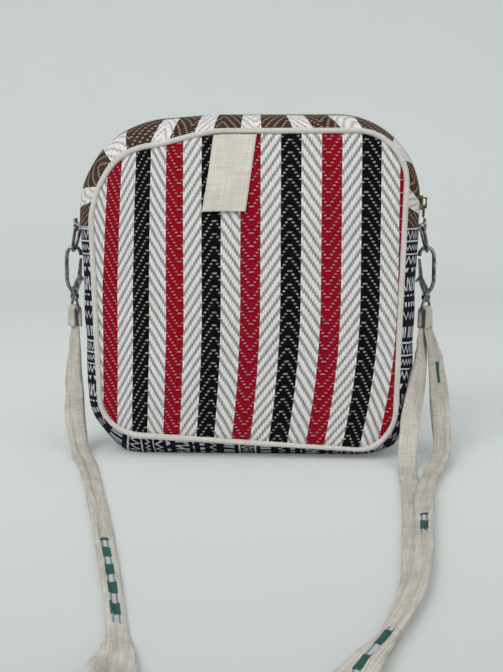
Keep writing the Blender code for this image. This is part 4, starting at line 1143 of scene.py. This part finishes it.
# %% Lining
def lining_finish():
    cloth = Finish("lining_cotton", Roughness=0.85)
    x, y, z = cloth.parts(cloth.place())
    weft = abs((z / 0.0006) % 1 - 0.5) * 2
    warp = abs(((x + y) / 0.0006) % 1 - 0.5) * 2
    # Painted shade: the colour is darker between the weft threads and dimmed between the warp threads.
    color = cloth.dim(cloth.mix(weft, srgb(96, 88, 84), srgb(120, 112, 106)), 0.85 + warp * 0.2)
    return cloth.done(color=color, normal=cloth.bump(weft + warp, 0.0001, 0.5))


def lining():
    reach = HALF_DEPTH - PIPING_R + CLEAR
    depths = [reach * share for share in (-1, -0.75, -0.4, 0, 0.4, 0.75, 1)]
    rows = [gusset_line(depth, LINING_INSET, floor=LINING_INSET)[::4] for depth in depths]
    mesh = loft([[settle(point) for point in row] for row in rows], closed=True, capped=True)
    for side in (-1, 1):
        everything = list(mesh.verts) + list(mesh.edges) + list(mesh.faces)
        bmesh.ops.bisect_plane(mesh, geom=everything, plane_co=(0, side * LINING_SLOT / 2, 0),
                               plane_no=(0, 1, 0))
    open_part = [f for f in mesh.faces if abs(f.calc_center_median().y) < LINING_SLOT / 2
                 and f.calc_center_median().z > ZIP_END_Z]
    bmesh.ops.delete(mesh, geom=open_part, context="FACES")
    piece("lining_cloth", mesh, lining_finish(), "root", ("lining",), thickness=LINING_T)


lining()

# %% [markdown]
# ## Label
#
# A strip of plain linen is folded in two and caught in the top seam by its ends, so it hangs a little askew
# over the panel. It is lofted as one long strip: down the front, round the fold and up again behind.

# %% Label
LABEL_W, LABEL_L = 0.0275, 0.048
LABEL_TURN = math.radians(8.0)
LABEL_X, LABEL_DROP = -0.0075, 0.0022
LABEL_PLY, LABEL_STAND, LABEL_APART = 0.00045, 0.0008, 0.00042


def label():
    top = Vector((LABEL_X, SEAM_TOP_Z - LABEL_DROP))
    down = Vector((math.sin(LABEL_TURN), math.cos(LABEL_TURN))) * -1
    side_way = Vector((-1.0, 0.0))
    reach = SEAM_H / 2 - PIPING_R - CLEAR
    steps_down, steps_across = 30, 16
    legs = [(LABEL_L * i / steps_down, 1.0) for i in range(steps_down)]
    legs += [(LABEL_L + 0.0002 * math.sin(t), math.cos(t)) for t in (math.pi * k / 6 for k in range(7))]
    legs += [(LABEL_L * i / steps_down, -1.0) for i in range(steps_down - 1, -1, -1)]
    rows, values = [], {"along": [], "across": []}
    for index, (distance, layer) in enumerate(legs):
        row = []
        for k in range(steps_across + 1):
            across_at = LABEL_W * (k / steps_across - 0.5)
            spot = top + down * distance + side_way * across_at
            share = min(max((spot.y - MIDDLE.y) / reach, 0.0), 1.0)
            crease = 0.0005 * math.exp(-((across_at - 0.0012) / 0.0014) ** 2)
            curl = 0.0010 * (distance / LABEL_L) ** 2
            ripple = 0.0005 * noise.noise(Vector((across_at, distance, 0)) / 0.012)
            stand = HALF_DEPTH + PANEL_T / 2 + panel_rise(share) + CLEAR + crease + curl + ripple
            stand += LABEL_STAND + LABEL_APART * layer
            row.append(settle(Vector((spot.x, -stand, spot.y))))
            values["along"].append(distance * (1 if layer >= 0 else -1))
            values["across"].append(across_at)
        rows.append(row)
    mesh = loft(rows)
    mesh.faces.ensure_lookup_table()
    if mesh.faces[0].normal.y > 0:
        bmesh.ops.reverse_faces(mesh, faces=mesh.faces)
    obj = piece("label_strip", mesh, LABEL_LINEN, "root", ("label",), values, thickness=LABEL_PLY)


label()

# %% [markdown]
# ## Metal
#
# The D-rings, hooks, gates and slide are nickel-plated, and the slider and its puller are antique brass.
# Plating is never even: its polish varies, fine scratches catch the light, and its colour is darker in random
# patches. The nickel's colours are painted darker than bright nickel, a painted reflection of dark
# surroundings.


# %% Metal finishes
def metal(name, light, dark, low, high):
    plate = Finish(name, Metallic=1.0)
    place = plate.place()
    cloud = plate.speckle(place, 350.0, detail=4.0)
    x, y, z = plate.parts(place)
    scratch = plate.speckle(plate.vector(x * 5200, y * 5200, z * 400), 1.0, detail=2.0)
    color = plate.mix(plate.ramp(cloud, 0.35, 0.7), dark, light)
    return plate.done(color=color, roughness=plate.ramp(cloud * 0.6 + scratch * 0.4, 0.3, 0.7, low, high),
                      normal=plate.bump(scratch + cloud * 0.5, 0.00003, 0.5))


# Painted reflection: the nickel's colours are darker than bright nickel, for the dark surroundings it would
# reflect.
NICKEL = metal("nickel_plate", srgb(168, 165, 160), srgb(92, 89, 86), 0.14, 0.34)
BRASS = metal("antique_brass", srgb(160, 142, 104), srgb(74, 62, 44), 0.22, 0.46)
for name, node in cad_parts.items():
    if name.startswith(("d_ring", "hook", "gate", "eye", "strap_glide")):
        node.data.materials.clear()
        node.data.materials.append(NICKEL)
    if name in ("zip_slider", "zip_pull"):
        node.data.materials.clear()
        node.data.materials.append(BRASS)

# %% [markdown]
# ## Tabs and strap ends
#
# A linen tab holds each D-ring, and the strap is gathered round each swivel eye. Both are bands that go
# round a bar: a flat cross-section is carried along the path that the cloth takes.

# %% Tabs
RING_WIRE_R, TAB_CLOTH, TAB_HALF = 0.0011, 0.0012, 0.0056
SIDE_X = half_width(ZIP_END_Z) + GUSSET_BULGE
TAB_OUTER_R = RING_WIRE_R + PIN_CLEAR + TAB_CLOTH
PIVOT_X = SIDE_X + CLEAR + TAB_OUTER_R
PIVOT_Z = ZIP_END_Z - TAB_OUTER_R * 0.2


def cloth_band(node, path, half, thick, material, body, bar_way, at, pleat=0.0, flare=0.0):
    """A band of cloth along a path of (out, up) places in the plane square to the bar."""
    bar_way = Vector(bar_way).normalized()
    out_way = bar_way.cross(Vector((0, 0, 1))).normalized()
    rows, values = [], {"along": [], "across": [], "face": []}
    walked = 0.0
    for i, (x, z) in enumerate(path):
        x0, z0 = path[max(i - 1, 0)]
        x1, z1 = path[min(i + 1, len(path) - 1)]
        way = Vector((x1 - x0, z1 - z0)).normalized()
        normal = Vector((-way.y, way.x))
        spread_half = half * (1 + flare * min(-z / STRAP_END_L, 1.0) * (z < 0))
        row = []
        for side in (1, -1):
            for k in range(PROFILE):
                share = side * (1 - 2 * k / (PROFILE - 1))
                edge = (1 - abs(share) ** 8) ** 0.5 if abs(share) < 1 else 0.0
                lift = side * thick / 2 * (0.35 + 0.65 * edge) + pleat * math.sin(share * 9.0)
                spot = Vector((x, z)) + normal * lift
                place = Vector(at) + out_way * spot.x + Vector((0, 0, spot.y))
                row.append(place + bar_way * (share * spread_half))
                values["along"].append(walked)
                values["across"].append(share * half)
                values["face"].append(0.0)
        rows.append(row)
        if i + 1 < len(path):
            walked += math.hypot(path[i + 1][0] - x, path[i + 1][1] - z)
    piece(node + "_cloth", loft(rows, closed=True, capped=True), material, body, (node,), values)


def ring_tab(side, word):
    radius = TAB_OUTER_R - TAB_CLOTH / 2
    wall_x = -TAB_OUTER_R + TAB_CLOTH / 2
    path = [(wall_x + 0.0004, TAB_FOOT), (wall_x + 0.0003, TAB_FOOT * 0.8), (wall_x + 0.0005, 0.0032),
            (-0.0002, 0.0020)]
    path += arc(Vector((0, 0)), radius, math.pi / 3, -math.pi, 16)
    path += [(wall_x, 0.0012), (wall_x, 0.0030)]
    path = [(side * x, z) for x, z in path]
    cloth_band("ring_tab_" + word, path, TAB_HALF, TAB_CLOTH, PIPING_LINEN, "root", (0, -1, 0),
               (side * PIVOT_X, 0, PIVOT_Z))


for side, word in ((-1, "left"), (1, "right")):
    ring_tab(side, word)

# %% Strap ends round the eyes
SLEEVE_L = STRAP_END_L + RUN_GAP - 0.0001


def strap_end(name, side):
    path = [(LEG, -SLEEVE_L * k / 6) for k in range(6, 0, -1)]
    path += arc(Vector((0, 0)), LEG, 0.0, math.pi, 12)
    path += [(-LEG, -SLEEVE_L * k / 6) for k in range(1, 7)]
    bar_way = Matrix.Rotation(side * EYE_TURN, 3, "Z") @ Vector((1, 0, 0))
    body = "eye_left" if side < 0 else "eye_right"
    cloth_band(name, path, BUNCH, STRAP_T * 1.15, STRAP_CLOTH, body, bar_way, (side * HOOK_X, 0, BAR_Z),
               pleat=0.00022, flare=0.12)


strap_end("strap_end_left", -1)
strap_end("strap_turn_right", 1)
